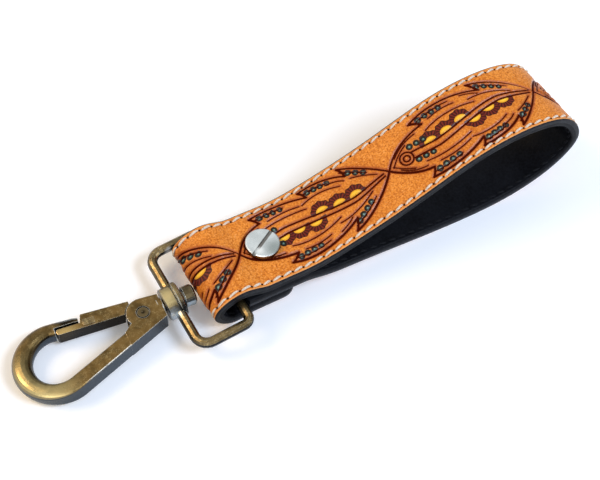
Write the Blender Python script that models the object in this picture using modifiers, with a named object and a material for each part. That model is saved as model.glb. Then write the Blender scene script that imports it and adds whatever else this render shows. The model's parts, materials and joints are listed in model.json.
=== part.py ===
"""Leather keychain: a folded two-ply strap loop on a swivel snap hook, lying on a table.

Frame: metres, +Z up, origin on the table under the strap screw, +X from the snap hook to the strap's loop,
+Y across the strap. The strap keeps the world's axes. The hardware hangs in empties on its joint axes.
"""
import math

import bmesh
import bpy
import numpy as np
from mathutils import Matrix, Vector

# Clearances
SEAT_GAP = 0.0003
RUN_GAP = 0.0003
CUT_OVERRUN = 0.002
MERGE = 0.000001

# Strap: two plies of leather, the inner face of the fold round the ring's crossbar
STRAP_WIDTH = 0.025
OUTER_PLY = 0.0014
LINING_PLY = 0.0012
GLUE_LINE = 0.0003
PLY_EDGE_ROUND = 0.00035
RETURN_LENGTH = 0.0054
RETURN_CORNER = 0.0050
RETURN_CORNER_STEPS = 7
FOLD_STRAIGHT_BEHIND_SCREW = 0.0085
FOLD_TOP_BEHIND_SCREW = 0.0042
FOLD_REACH = 0.0212
FOLD_TOP_HEIGHT = 0.0128
FOLD_FLOOR_HEIGHT = 0.0004
FOLD_TOP_INSET = 0.0080
FOLD_FLOOR_INSET = 0.0062
LOWER_END_INSET = 0.0105
STACK_HALF_FLAT = 0.0060
LOOP_REACH = 0.0999
LOOP_HEIGHT = 0.0318
LOOP_SAMPLES = 84
FOLD_SAMPLES = 40

# The loop's route past the screw, as shares of its reach and of its height between the two legs' middles
LOOP_ROUTE_SHARES = (
    (0.224, 0.385), (0.356, 0.540), (0.483, 0.725), (0.610, 0.905), (0.737, 0.997), (0.849, 0.984),
    (0.925, 0.895), (0.979, 0.715), (1.000, 0.524), (0.970, 0.327), (0.900, 0.157), (0.788, 0.036),
    (0.630, 0.000), (0.422, 0.036), (0.244, 0.080), (0.142, 0.112),
)

# Two-part strap screw
SCREW_HEAD_RADIUS = 0.0048
SCREW_HEAD_HEIGHT = 0.0012
SCREW_HEAD_ROUND = 0.00045
POST_RADIUS = 0.0024
POST_BORE_RADIUS = 0.00165
POST_FLOOR = 0.0016
POST_SHORT_OF_FACE = 0.0008
SCREW_SHANK_RADIUS = 0.00135
SCREW_SHANK_LENGTH = 0.0062
SLOT_WIDTH = 0.0010
SLOT_DEPTH = 0.0006
SLOT_TURN = math.radians(30.0)
HEAD_SIDES = 48

# Rectangular swivel ring with its hub
RING_WIRE_RADIUS = 0.0014
RING_LENGTH = 0.0148
RING_SLACK = 0.0044
RING_FRONT_CORNER = 0.0036
RING_REAR_CORNER = 0.0021
CORNER_STEPS = 7
HUB_RADIUS = 0.0045
HUB_LENGTH = 0.0049
HUB_FORWARD = 0.0004
RIM_RADIUS = 0.0048
RIM_LENGTH = 0.0013
RIM_GROOVE = 0.0003
HUB_SIDES = 40
HUB_BEYOND_FOLD = 0.00675
HUB_SIDE_SHIFT = -0.00145
HUB_RISE = 0.0049
HOOK_YAW = math.radians(-3.9)

# Play of the swivel: the ring leans on the loose stud
PLAY_YAW = math.radians(2.5)
PLAY_PITCH = math.radians(6.0)

# Swivel stud: head inside the ring, shank through the hub into the hook
STUD_HEAD_RADIUS = 0.0029
STUD_HEAD_LENGTH = 0.0030
STUD_HEAD_CHAMFER = 0.0005
STUD_SHANK_RADIUS = 0.0017
STUD_GRIP = 0.0011
STUD_SIDES = 32

# Snap hook body: head block with two cheeks, straight shank, round bow, stepped nose
HOOK_THICKNESS = 0.0053
HEEL_BOSS_RADIUS = 0.0028
HEEL_BOSS_HEIGHT = 0.0003
HEEL_TO_RIVET = 0.0054
HEEL_TOP_RISE = 0.0037
RIVET_DROP = 0.0012
CHEEK_RADIUS = 0.0044
BOW_FROM_RIVET = 0.0252
BOW_DROP = 0.0031
BOW_INNER_RADIUS = 0.0071
SHANK_WIDTH = 0.0040
BOW_SWELL = 0.0014
BOW_SWELL_LEAN = 1.4
SHANK_ANGLE = math.radians(20.3)
NOSE_ANGLE = math.radians(7.2)
NOSE_END_FROM_RIVET = 0.0160
NOSE_STEP_FROM_RIVET = 0.0225
SHANK_ROOT_FROM_RIVET = 0.0056
BLOCK_EDGE_ROUND = 0.0004
BOW_STATIONS = 40
SHANK_STATIONS = 8
NOSE_STATIONS = 6
CORNER_SEGMENTS = 5
LOFT_INSET = 0.00001
BOW_ROUNDNESS = 0.94

# Gate, its rivet and its spring
GATE_THICKNESS = 0.0041
GATE_LIP_THICKNESS = 0.0018
GATE_LIP_ROUND = 0.0006
GATE_SHOULDER_GAP = 0.0003
GATE_INNER_RISE = 0.0013
GATE_INNER_ANGLE = math.radians(4.9)
GATE_HEEL_ANGLE = math.radians(118.0)
EAR_RADIUS = 0.0031
EAR_THICKNESS = 0.0014
SLOT_HEIGHT = 0.0033
GATE_EDGE_ROUND = 0.00035
RIVET_RADIUS = 0.00095
RIVET_HEAD_RADIUS = 0.0015
RIVET_HEAD_DEPTH = 0.0006
RIVET_DIMPLE_RADIUS = 0.0004
RIVET_DIMPLE_DEPTH = 0.0003
SPRING_WIRE_RADIUS = 0.00013
SPRING_MEAN_RADIUS = 0.0016
SPRING_PITCH = 0.0004
SPRING_TURNS = 2
SPRING_POINTS_PER_TURN = 12
SPRING_START = math.radians(250.0)
SPRING_GATE_LEG = 0.0039
SPRING_HEEL_LEG = 0.0017

# Derived sizes of the ring round the strap
RING_INNER_WIDTH = STRAP_WIDTH + RING_SLACK
HUB_BEHIND_SCREW = FOLD_REACH + HUB_BEYOND_FOLD

# Derived sizes of the strap's stack
STRAP_THICKNESS = OUTER_PLY + GLUE_LINE + LINING_PLY
HALF_STRAP = STRAP_THICKNESS / 2
RETURN_LEVEL = SCREW_HEAD_HEIGHT + SEAT_GAP + HALF_STRAP
LOWER_LEVEL = RETURN_LEVEL + STRAP_THICKNESS + SEAT_GAP
TOP_LEVEL = LOWER_LEVEL + STRAP_THICKNESS + SEAT_GAP
STACK_TOP = TOP_LEVEL + HALF_STRAP
SCREW_SEAT = STACK_TOP + SEAT_GAP

# Derived places along the swivel's axis, measured from the hub's middle
HUB_PLACE = RING_LENGTH + HUB_FORWARD
PLAY_TILT = math.hypot(PLAY_YAW, PLAY_PITCH)
HUB_BORE_RADIUS = STUD_SHANK_RADIUS + HUB_LENGTH / 2 * math.tan(PLAY_TILT) + RUN_GAP
STUD_HEAD_FACE = HUB_LENGTH / 2 + STUD_HEAD_RADIUS * math.sin(PLAY_TILT) + RUN_GAP
BOSS_FACE = HUB_LENGTH / 2 + HEEL_BOSS_RADIUS * math.sin(PLAY_TILT) + RUN_GAP
HEEL = BOSS_FACE + HEEL_BOSS_HEIGHT
RIVET_PLACE = HEEL + HEEL_TO_RIVET
BOW_OUTER_RADIUS = BOW_INNER_RADIUS + SHANK_WIDTH
BOW_MIDDLE_RADIUS = BOW_INNER_RADIUS + SHANK_WIDTH / 2
TIP_PLACE = RIVET_PLACE + BOW_FROM_RIVET + BOW_OUTER_RADIUS
HOOK_PITCH = math.asin((HUB_RISE - HOOK_THICKNESS / 2) / TIP_PLACE)
EAR_CENTRE_HEIGHT = (SLOT_HEIGHT / 2 - RUN_GAP) - EAR_THICKNESS / 2

# Colours: linear RGB, roughness, metallic
TAN_LEATHER = ((0.72, 0.27, 0.07), 0.55, 0.0)
BLACK_LEATHER = ((0.012, 0.013, 0.016), 0.6, 0.0)
NICKEL = ((0.72, 0.74, 0.73), 0.25, 1.0)
ANTIQUE_BRASS = ((0.36, 0.25, 0.10), 0.38, 1.0)
DARK_BRASS = ((0.22, 0.16, 0.08), 0.45, 1.0)
SPRING_STEEL = ((0.45, 0.46, 0.48), 0.3, 1.0)


def clear_objects():
    for old in list(bpy.data.objects):
        bpy.data.objects.remove(old, do_unlink=True)


def new_collection(name):
    collection = bpy.data.collections.new(name)
    bpy.context.scene.collection.children.link(collection)
    return collection


def make_material(name, look):
    colour, roughness, metallic = look
    material = bpy.data.materials.new(name)
    material.use_nodes = True
    shader = material.node_tree.nodes["Principled BSDF"]
    shader.inputs["Base Color"].default_value = (*colour, 1.0)
    shader.inputs["Roughness"].default_value = roughness
    shader.inputs["Metallic"].default_value = metallic
    material.diffuse_color = (*colour, 1.0)
    return material


def link_object(name, data, collection, parent=None):
    item = bpy.data.objects.new(name, data)
    collection.objects.link(item)
    item.parent = parent
    return item


def frozen_mesh(item):
    """The object's shape with its modifiers applied, in its parent's frame; the object itself is removed."""
    bpy.context.view_layer.update()
    evaluated = item.evaluated_get(bpy.context.evaluated_depsgraph_get())
    mesh = bpy.data.meshes.new_from_object(evaluated)
    mesh.transform(item.matrix_basis)
    bpy.data.objects.remove(item, do_unlink=True)
    shape = bmesh.new()
    shape.from_mesh(mesh)
    bmesh.ops.remove_doubles(shape, verts=shape.verts, dist=MERGE)
    bmesh.ops.recalc_face_normals(shape, faces=shape.faces)
    shape.to_mesh(mesh)
    shape.free()
    return mesh


def turned_mesh(profile, sides, turn=None):
    """A solid of revolution: a profile of (radius, height) points, top to bottom, with a Screw modifier."""
    mesh = bpy.data.meshes.new("turned_profile")
    points = [(radius, 0.0, height) for radius, height in profile]
    mesh.from_pydata(points, [(n, n + 1) for n in range(len(points) - 1)], [])
    item = link_object("turned_profile", mesh, bpy.context.scene.collection)
    screw = item.modifiers.new("Turn", "SCREW")
    screw.axis = "Z"
    screw.steps = sides
    screw.render_steps = sides
    screw.use_merge_vertices = True
    screw.merge_threshold = MERGE
    result = frozen_mesh(item)
    if turn is not None:
        result.transform(turn)
    return result


def outline_mesh(points, thickness, middle=0.0):
    """A flat outline of (x, y) points, filled and extruded to a thickness about a middle height."""
    curve = bpy.data.curves.new("outline", "CURVE")
    curve.dimensions = "2D"
    curve.fill_mode = "BOTH"
    curve.extrude = thickness / 2
    spline = curve.splines.new("POLY")
    spline.points.add(len(points) - 1)
    for spot, (x, y) in zip(spline.points, points):
        spot.co = (x, y, 0.0, 1.0)
    spline.use_cyclic_u = True
    item = link_object("outline", curve, bpy.context.scene.collection)
    item.location.z = middle
    return frozen_mesh(item)


def wire_mesh(points, radius, resolution, closed):
    """A round wire along a polyline, with filled ends."""
    curve = bpy.data.curves.new("wire", "CURVE")
    curve.dimensions = "3D"
    curve.bevel_depth = radius
    curve.bevel_resolution = resolution
    curve.use_fill_caps = not closed
    spline = curve.splines.new("POLY")
    spline.points.add(len(points) - 1)
    for spot, place in zip(spline.points, points):
        spot.co = (*place, 1.0)
    spline.use_cyclic_u = closed
    item = link_object("wire", curve, bpy.context.scene.collection)
    return frozen_mesh(item)


def round_edges(item, width, segments, angle):
    bevel = item.modifiers.new("Edge round", "BEVEL")
    bevel.width = width
    bevel.segments = segments
    bevel.limit_method = "ANGLE"
    bevel.angle_limit = angle


def combine(item, tool_mesh, operation, name, cutters):
    """Join or cut the item with a tool mesh kept as a hidden wire object in the cutters' collection."""
    tool = link_object(name, tool_mesh, cutters, item.parent)
    tool.hide_render = True
    tool.display_type = "WIRE"
    step = item.modifiers.new(name, "BOOLEAN")
    step.operation = operation
    step.solver = "EXACT"
    step.object = tool


def smooth_round(item, angle=math.radians(32.0)):
    item.data.shade_smooth()
    item.data.set_sharp_from_angle(angle=angle)


def arc_points(centre, radius, start, end, steps):
    """Points on an arc from one angle to another, both ends included."""
    angles = np.linspace(start, end, steps + 1)
    return [(centre[0] + radius * math.cos(a), centre[1] + radius * math.sin(a)) for a in angles]


def smooth_run(points, start_heading, end_heading, samples):
    """A clamped cubic spline through (x, z) points, evenly sampled along its length."""
    knots = np.array(points)
    steps = np.hypot(*np.diff(knots, axis=0).T)
    place = np.concatenate([[0.0], np.cumsum(steps)])
    count = len(knots)
    system = np.zeros((count, count))
    right = np.zeros((count, 2))
    system[0, 0] = system[-1, -1] = 1.0
    right[0] = start_heading
    right[-1] = end_heading
    for n in range(1, count - 1):
        before, after = steps[n - 1], steps[n]
        system[n, n - 1 : n + 2] = after, 2 * (before + after), before
        right[n] = 3 * (after * (knots[n] - knots[n - 1]) / before + before * (knots[n + 1] - knots[n]) / after)
    slopes = np.linalg.solve(system, right)

    def at(spot):
        n = min(int(np.searchsorted(place, spot, side="right")) - 1, count - 2)
        span = steps[n]
        t = (spot - place[n]) / span
        blend = (2 * t**3 - 3 * t**2 + 1, t**3 - 2 * t**2 + t, 3 * t**2 - 2 * t**3, t**3 - t**2)
        return blend[0] * knots[n] + blend[1] * span * slopes[n] + blend[2] * knots[n + 1] + blend[3] * span * slopes[n + 1]

    return [tuple(at(spot)) for spot in np.linspace(0.0, place[-1], samples + 1)]


def strap_route():
    """The strap's middle line in the XZ plane, from the return's end round the fold and loop to the lower end."""
    floor_place = (FOLD_FLOOR_INSET - FOLD_REACH, FOLD_FLOOR_HEIGHT + HALF_STRAP)
    top_place = (FOLD_TOP_INSET - FOLD_REACH, FOLD_TOP_HEIGHT - HALF_STRAP)
    side_place = (-(FOLD_REACH - HALF_STRAP), (floor_place[1] + top_place[1]) / 2)
    fold = smooth_run(
        [(-FOLD_STRAIGHT_BEHIND_SCREW, RETURN_LEVEL), floor_place, side_place, top_place,
         (-FOLD_TOP_BEHIND_SCREW, TOP_LEVEL)],
        (-1.0, 0.0), (1.0, 0.0), FOLD_SAMPLES,
    )
    reach = LOOP_REACH - HALF_STRAP
    height = LOOP_HEIGHT - STRAP_THICKNESS
    loop = smooth_run(
        [(STACK_HALF_FLAT, TOP_LEVEL)]
        + [(across * reach, HALF_STRAP + up * height) for across, up in LOOP_ROUTE_SHARES]
        + [(STACK_HALF_FLAT, LOWER_LEVEL)],
        (1.0, 0.0), (-1.0, 0.0), LOOP_SAMPLES,
    )
    return [(RETURN_LENGTH, RETURN_LEVEL)] + fold + loop + [(LOWER_END_INSET - FOLD_REACH, LOWER_LEVEL)]


def offset_route(route, distance):
    """The route moved sideways, to the left of its heading, by the mitre of its neighbouring runs."""
    points = np.array(route)
    runs = np.diff(points, axis=0)
    runs /= np.hypot(*runs.T)[:, None]
    left = np.stack([-runs[:, 1], runs[:, 0]], axis=1)
    before = np.vstack([left[:1], left])
    after = np.vstack([left, left[-1:]])
    mitre = (before + after) / (1.0 + np.sum(before * after, axis=1))[:, None]
    return points + mitre * distance


def return_end(end):
    """The return's rounded end as one outline, from the strap's one side to the other."""
    straight = STRAP_WIDTH / 2 - RETURN_CORNER
    start = end - RETURN_CORNER
    near = arc_points((start, -straight), RETURN_CORNER, math.radians(-90.0), 0.0, RETURN_CORNER_STEPS)
    far = arc_points((start, straight), RETURN_CORNER, 0.0, math.radians(90.0), RETURN_CORNER_STEPS)
    return near + far


def make_ply(name, inner_face, thickness, look, parts, cutters):
    """One ply of the strap: a ribbon at its inner face, thickened outwards, drilled for the strap screw."""
    ribbon = bmesh.new()
    places = offset_route(strap_route(), inner_face)
    outline = [ribbon.verts.new((x, y, places[0][1])) for x, y in return_end(places[0][0])]
    rows = [[outline[0], outline[-1]]]
    for x, z in places[1:]:
        rows.append([ribbon.verts.new((x, side * STRAP_WIDTH / 2, z)) for side in (-1, 1)])
    ribbon.faces.new(outline[::-1])
    for first, second in zip(rows, rows[1:]):
        ribbon.faces.new((first[0], second[0], second[1], first[1]))
    mesh = bpy.data.meshes.new(name)
    ribbon.to_mesh(mesh)
    ribbon.free()
    ply = link_object(name, mesh, parts)
    shell = ply.modifiers.new("Ply thickness", "SOLIDIFY")
    shell.thickness = thickness
    shell.offset = 1.0
    shell.use_even_offset = True
    round_edges(ply, PLY_EDGE_ROUND, 2, math.radians(60.0))
    hole = [(0.0, STACK_TOP + CUT_OVERRUN), (POST_RADIUS + SEAT_GAP, STACK_TOP + CUT_OVERRUN),
            (POST_RADIUS + SEAT_GAP, -CUT_OVERRUN), (0.0, -CUT_OVERRUN)]
    combine(ply, turned_mesh(hole, STUD_SIDES), "DIFFERENCE", name + "_screw_hole", cutters)
    ply.data.materials.append(make_material(name, look))
    smooth_round(ply)
    return ply


def make_strap(parts, cutters):
    make_ply("strap_outer", HALF_STRAP - OUTER_PLY, OUTER_PLY, TAN_LEATHER, parts, cutters)
    make_ply("strap_lining", -HALF_STRAP, LINING_PLY, BLACK_LEATHER, parts, cutters)


def head_edge(radius, face, direction):
    """A rounded rim from a head's flat face to its side: (radius, height) points."""
    edge = []
    for radial, along in arc_points((0.0, 0.0), SCREW_HEAD_ROUND, math.radians(90.0), 0.0, 3):
        edge.append((radius - SCREW_HEAD_ROUND + radial, face - direction * (SCREW_HEAD_ROUND - along)))
    return edge


def make_screw_post(parts):
    """The screw's lower half: a plain flat head on the table and a barrel bored from the top."""
    barrel_top = STACK_TOP - POST_SHORT_OF_FACE
    profile = [(0.0, POST_FLOOR), (POST_BORE_RADIUS, POST_FLOOR), (POST_BORE_RADIUS, barrel_top),
               (POST_RADIUS, barrel_top), (POST_RADIUS, SCREW_HEAD_HEIGHT)]
    rim = head_edge(SCREW_HEAD_RADIUS, 0.0, -1)
    profile += [(SCREW_HEAD_RADIUS, SCREW_HEAD_HEIGHT)] + rim[::-1] + [(0.0, 0.0)]
    post = link_object("screw_post", turned_mesh(profile, HEAD_SIDES), parts)
    post.data.materials.append(make_material("screw_post", NICKEL))
    smooth_round(post)


def make_strap_screw(parts, cutters):
    """The screw's upper half: slotted head on the tooled face, shank down the post's bore."""
    top = SCREW_SEAT + SCREW_HEAD_HEIGHT
    profile = [(0.0, top)] + head_edge(SCREW_HEAD_RADIUS, top, 1)
    profile += [(SCREW_HEAD_RADIUS, SCREW_SEAT), (SCREW_SHANK_RADIUS, SCREW_SEAT),
                (SCREW_SHANK_RADIUS, SCREW_SEAT - SCREW_SHANK_LENGTH), (0.0, SCREW_SEAT - SCREW_SHANK_LENGTH)]
    screw = link_object("strap_screw", turned_mesh(profile, HEAD_SIDES), parts)
    length = 2 * (SCREW_HEAD_RADIUS + CUT_OVERRUN)
    bpy.ops.mesh.primitive_cube_add(size=1.0, location=(0.0, 0.0, 0.0))
    block = bpy.context.object
    block.scale = (length, SLOT_WIDTH, 2 * SLOT_DEPTH)
    block.rotation_euler.z = SLOT_TURN
    block.location.z = top
    combine(screw, frozen_mesh(block), "DIFFERENCE", "driver_slot", cutters)
    screw.data.materials.append(make_material("strap_screw", NICKEL))
    smooth_round(screw)


def turned_frame(yaw, pitch):
    """A turn about the vertical, then a rise of the strap's side of the hardware above its tip."""
    return Matrix.Rotation(yaw, 4, "Z") @ Matrix.Rotation(-pitch, 4, "Y")


def add_axis(name, place, parent, parts):
    """An empty on a joint's axis, set by its matrix in the parent's frame, that carries what turns with it."""
    axis = link_object(name, None, parts, parent)
    axis.location = place.to_translation()
    axis.rotation_euler = place.to_euler()
    axis.empty_display_size = RING_LENGTH
    return axis


def ring_route():
    """The ring's wire: a rectangle in the ring's plane with tight rear and wide front corners."""
    half_width = RING_INNER_WIDTH / 2 + RING_WIRE_RADIUS
    front = -RING_LENGTH
    quarter = math.pi / 2
    rear_y = half_width - RING_REAR_CORNER
    front_y = half_width - RING_FRONT_CORNER
    route = arc_points((-RING_REAR_CORNER, rear_y), RING_REAR_CORNER, 0.0, quarter, CORNER_STEPS)
    route += arc_points((front + RING_FRONT_CORNER, front_y), RING_FRONT_CORNER, quarter, 2 * quarter, CORNER_STEPS)
    route += arc_points((front + RING_FRONT_CORNER, -front_y), RING_FRONT_CORNER, 2 * quarter, 3 * quarter, CORNER_STEPS)
    route += arc_points((-RING_REAR_CORNER, -rear_y), RING_REAR_CORNER, 3 * quarter, 4 * quarter, CORNER_STEPS)
    return [(x, y, 0.0) for x, y in route]


def towards_hook(start):
    """Turns a profile's height axis to point towards the hook, from a start measured along the swivel's axis."""
    return Matrix.Translation((-start, 0.0, 0.0)) @ Matrix.Rotation(math.radians(-90.0), 4, "Y")


def make_swivel_ring(ring_axis, parts, cutters):
    """The ring's wire and its hub in one casting, bored for the stud, with a rim on the strap's side."""
    ring = link_object("swivel_ring", wire_mesh(ring_route(), RING_WIRE_RADIUS, 4, True), parts, ring_axis)
    groove_end = RIM_LENGTH + RIM_GROOVE
    profile = [(0.0, HUB_LENGTH), (HUB_RADIUS - RIM_GROOVE, HUB_LENGTH), (HUB_RADIUS, HUB_LENGTH - RIM_GROOVE),
               (HUB_RADIUS, groove_end + RIM_GROOVE), (HUB_RADIUS - RIM_GROOVE, groove_end),
               (HUB_RADIUS - RIM_GROOVE, RIM_LENGTH), (RIM_RADIUS, RIM_LENGTH), (RIM_RADIUS, RIM_GROOVE),
               (RIM_RADIUS - RIM_GROOVE, 0.0), (0.0, 0.0)]
    start = HUB_PLACE - HUB_LENGTH / 2
    combine(ring, turned_mesh(profile, HUB_SIDES, towards_hook(start)), "UNION", "hub_turning", cutters)
    drill = [(0.0, HUB_LENGTH + CUT_OVERRUN), (HUB_BORE_RADIUS, HUB_LENGTH + CUT_OVERRUN),
             (HUB_BORE_RADIUS, -CUT_OVERRUN), (0.0, -CUT_OVERRUN)]
    combine(ring, turned_mesh(drill, STUD_SIDES, towards_hook(start)), "DIFFERENCE", "hub_bore", cutters)
    ring.data.materials.append(make_material("swivel_ring", ANTIQUE_BRASS))
    smooth_round(ring)


def make_swivel_stud(swivel_axis, parts):
    """A headed stud: chamfered head inside the ring, shank through the hub and into the hook's heel."""
    shank = STUD_HEAD_LENGTH + STUD_HEAD_FACE + HEEL + STUD_GRIP
    profile = [(0.0, shank), (STUD_SHANK_RADIUS, shank), (STUD_SHANK_RADIUS, STUD_HEAD_LENGTH),
               (STUD_HEAD_RADIUS, STUD_HEAD_LENGTH), (STUD_HEAD_RADIUS, STUD_HEAD_CHAMFER),
               (STUD_HEAD_RADIUS - STUD_HEAD_CHAMFER, 0.0), (0.0, 0.0)]
    start = -(STUD_HEAD_FACE + STUD_HEAD_LENGTH)
    stud = link_object("swivel_stud", turned_mesh(profile, STUD_SIDES, towards_hook(start)), parts, swivel_axis)
    stud.data.materials.append(make_material("swivel_stud", DARK_BRASS))
    smooth_round(stud)


def line_across(point, angle, x):
    """The height at x of a line through a point at an angle."""
    return point[1] + (x - point[0]) * math.tan(angle)


def bow_centre():
    return (-BOW_FROM_RIVET, -BOW_DROP)


def hook_route():
    """The hook's middle line about the rivet: shank, tangent bow and nose, with the share of roundness at each point.

    The shank runs down towards the tip at its angle and meets the bow as a tangent; the nose leaves the bow as one.
    """
    centre = bow_centre()
    low = SHANK_ANGLE - math.pi / 2
    high = math.pi / 2 - NOSE_ANGLE
    tangent_low = arc_points(centre, BOW_MIDDLE_RADIUS, low, low, 1)[0]
    tangent_high = arc_points(centre, BOW_MIDDLE_RADIUS, high, high, 1)[0]
    root_x = -SHANK_ROOT_FROM_RIVET
    root = (root_x, tangent_low[1] + (root_x - tangent_low[0]) * math.tan(SHANK_ANGLE))
    end_x = -NOSE_END_FROM_RIVET
    nose = (end_x, tangent_high[1] - (end_x - tangent_high[0]) * math.tan(NOSE_ANGLE))
    route = []
    for n in range(SHANK_STATIONS):
        share = n / SHANK_STATIONS
        route.append((root[0] + share * (tangent_low[0] - root[0]), root[1] + share * (tangent_low[1] - root[1]), 0.0,
                      SHANK_WIDTH))
    sweep = (high - low) - 2 * math.pi
    for n in range(BOW_STATIONS + 1):
        share = n / BOW_STATIONS
        angle = low + sweep * share
        radius = BOW_OUTER_RADIUS - bow_width(share) / 2
        x, y = centre[0] + radius * math.cos(angle), centre[1] + radius * math.sin(angle)
        route.append((x, y, math.sin(math.pi / 2 * min(1.0, 2.5 * share)), bow_width(share)))
    for n in range(1, NOSE_STATIONS + 1):
        share = n / NOSE_STATIONS
        route.append((tangent_high[0] + share * (nose[0] - tangent_high[0]),
                      tangent_high[1] + share * (nose[1] - tangent_high[1]), 1.0, SHANK_WIDTH))
    return route


def bow_width(share):
    """The bow's width along its sweep: the shank's at both ends, fullest at the tip."""
    return SHANK_WIDTH + BOW_SWELL * math.sin(math.pi * share**BOW_SWELL_LEAN)


def section_points(half_width, half_height, corner):
    """A rectangle with rounded corners: (across, up) points."""
    points = []
    for quarter, (across, up) in enumerate(((1, 1), (-1, 1), (-1, -1), (1, -1))):
        centre = (across * (half_width - corner), up * (half_height - corner))
        start = math.pi / 2 * quarter
        points += arc_points(centre, corner, start, start + math.pi / 2, CORNER_SEGMENTS)
    return points


def hook_loft_mesh():
    """Shank, bow and nose lofted from square to round sections along the hook's middle line."""
    route = hook_route()
    loft = bmesh.new()
    rings = []
    places = np.array([(x, y) for x, y, _, _ in route])
    headings = np.gradient(places, axis=0)
    for n, ((x, y, roundness, width), heading) in enumerate(zip(route, headings)):
        heading = heading / np.hypot(*heading)
        side = (-heading[1], heading[0])
        last = n == len(route) - 1
        shrink = 1.0 - BLOCK_EDGE_ROUND / SHANK_WIDTH if last else 1.0
        half_width = shrink * (width / 2 - LOFT_INSET)
        corner = shrink * (BLOCK_EDGE_ROUND + (BOW_ROUNDNESS * width / 2 - BLOCK_EDGE_ROUND) * roundness)
        ring = []
        for across, up in section_points(half_width, shrink * (HOOK_THICKNESS / 2 - LOFT_INSET), corner):
            ring.append(loft.verts.new((x + side[0] * across, y + side[1] * across, up)))
        rings.append(ring)
    for first, second in zip(rings, rings[1:]):
        for n in range(len(first)):
            after = (n + 1) % len(first)
            loft.faces.new((first[n], first[after], second[after], second[n]))
    loft.faces.new(rings[0])
    loft.faces.new(rings[-1])
    bmesh.ops.recalc_face_normals(loft, faces=loft.faces)
    mesh = bpy.data.meshes.new("hook_loft")
    loft.to_mesh(mesh)
    loft.free()
    return mesh


def shank_line(offset):
    """A point on the line beside the shank's middle line, offset outwards (away from the gate)."""
    centre = bow_centre()
    radius = BOW_MIDDLE_RADIUS + offset
    return (centre[0] + radius * math.sin(SHANK_ANGLE) , centre[1] - radius * math.cos(SHANK_ANGLE))


def head_outline():
    """The head block seen from above, about the rivet: heel, cheeks round the rivet and the root of the shank."""
    outer = shank_line(SHANK_WIDTH / 2)
    inner = shank_line(-SHANK_WIDTH / 2)
    root = -(CHEEK_RADIUS + SHANK_WIDTH / 2)
    points = [(HEEL_TO_RIVET, line_across(outer, SHANK_ANGLE, HEEL_TO_RIVET)), (HEEL_TO_RIVET, HEEL_TOP_RISE)]
    points += arc_points((0.0, 0.0), CHEEK_RADIUS, math.radians(82.0), math.radians(205.0), 18)
    points += [(root, line_across(inner, SHANK_ANGLE, root)), (root, line_across(outer, SHANK_ANGLE, root))]
    return points


def gate_slot_outline():
    """The slot between the cheeks: a round pocket about the rivet that opens towards the gate."""
    pocket = EAR_RADIUS + RUN_GAP
    reach = CHEEK_RADIUS + CUT_OVERRUN
    low, high = math.radians(214.0), math.radians(78.0)
    points = arc_points((0.0, 0.0), pocket, high, low - 2 * math.pi, 20)
    points += arc_points((0.0, 0.0), reach, low, high, 14)
    return points


def rivet_bore_profile(side):
    """A drill with a counterbore at one face, for one cheek."""
    face = HOOK_THICKNESS / 2
    seat = face - RIVET_HEAD_DEPTH - RUN_GAP
    head = RIVET_HEAD_RADIUS + RUN_GAP
    hole = RIVET_RADIUS + RUN_GAP
    profile = [(0.0, face + CUT_OVERRUN), (head, face + CUT_OVERRUN), (head, seat), (hole, seat), (hole, 0.0), (0.0, 0.0)]
    turn = Matrix.Identity(4) if side > 0 else Matrix.Rotation(math.pi, 4, "X")
    return turned_mesh(profile, STUD_SIDES, turn)


def make_hook_body(swivel_axis, parts, cutters):
    """The casting: head block and loft joined, slotted for the gate, bored for rivet and stud, its nose stepped."""
    body = link_object("hook_body", outline_mesh(head_outline(), HOOK_THICKNESS), parts, swivel_axis)
    body.location = rivet_place()
    round_edges(body, BLOCK_EDGE_ROUND, 2, math.radians(50.0))
    tools = []
    tools.append((hook_loft_mesh(), "UNION", "hook_loft"))
    boss = [(0.0, 0.0), (HEEL_BOSS_RADIUS, 0.0), (HEEL_BOSS_RADIUS, -(HEEL_BOSS_HEIGHT + CUT_OVERRUN / 2)),
            (0.0, -(HEEL_BOSS_HEIGHT + CUT_OVERRUN / 2))]
    boss_turn = Matrix.Translation((HEEL_TO_RIVET + HEEL_BOSS_HEIGHT, RIVET_DROP, 0.0)) @ Matrix.Rotation(
        math.radians(90.0), 4, "Y")
    tools.append((turned_mesh(boss, STUD_SIDES, boss_turn), "UNION", "heel_boss"))
    socket = STUD_SHANK_RADIUS + SEAT_GAP
    grip = HEEL_BOSS_HEIGHT + STUD_GRIP + SEAT_GAP
    drill = [(0.0, CUT_OVERRUN), (socket, CUT_OVERRUN), (socket, -grip), (0.0, -grip)]
    tools.append((turned_mesh(drill, STUD_SIDES, boss_turn), "DIFFERENCE", "stud_socket"))
    tools.append((outline_mesh(gate_slot_outline(), SLOT_HEIGHT), "DIFFERENCE", "gate_slot"))
    tools.append((rivet_bore_profile(1), "DIFFERENCE", "upper_rivet_bore"))
    tools.append((rivet_bore_profile(-1), "DIFFERENCE", "lower_rivet_bore"))
    tools.append((nose_step_mesh(), "DIFFERENCE", "nose_step"))
    for mesh, operation, name in tools:
        combine(body, mesh, operation, name, cutters)
        cutters.objects[name].location = body.location
    body.data.materials.append(make_material("hook_body", ANTIQUE_BRASS))
    smooth_round(body)


def rivet_place():
    """The rivet's place in the frame of the swivel axis, whose origin is the middle of the hub."""
    return Vector((-RIVET_PLACE, -RIVET_DROP, 0.0))


def gate_line(rise):
    """A point on a line along the gate, a rise above its inner face's line."""
    return (0.0, GATE_INNER_RISE + rise)


def nose_under_height(x):
    """The underside of the nose's upper half: the lip's top and a running gap."""
    return line_across(gate_line(GATE_LIP_THICKNESS + RUN_GAP), -GATE_INNER_ANGLE, x)


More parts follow.
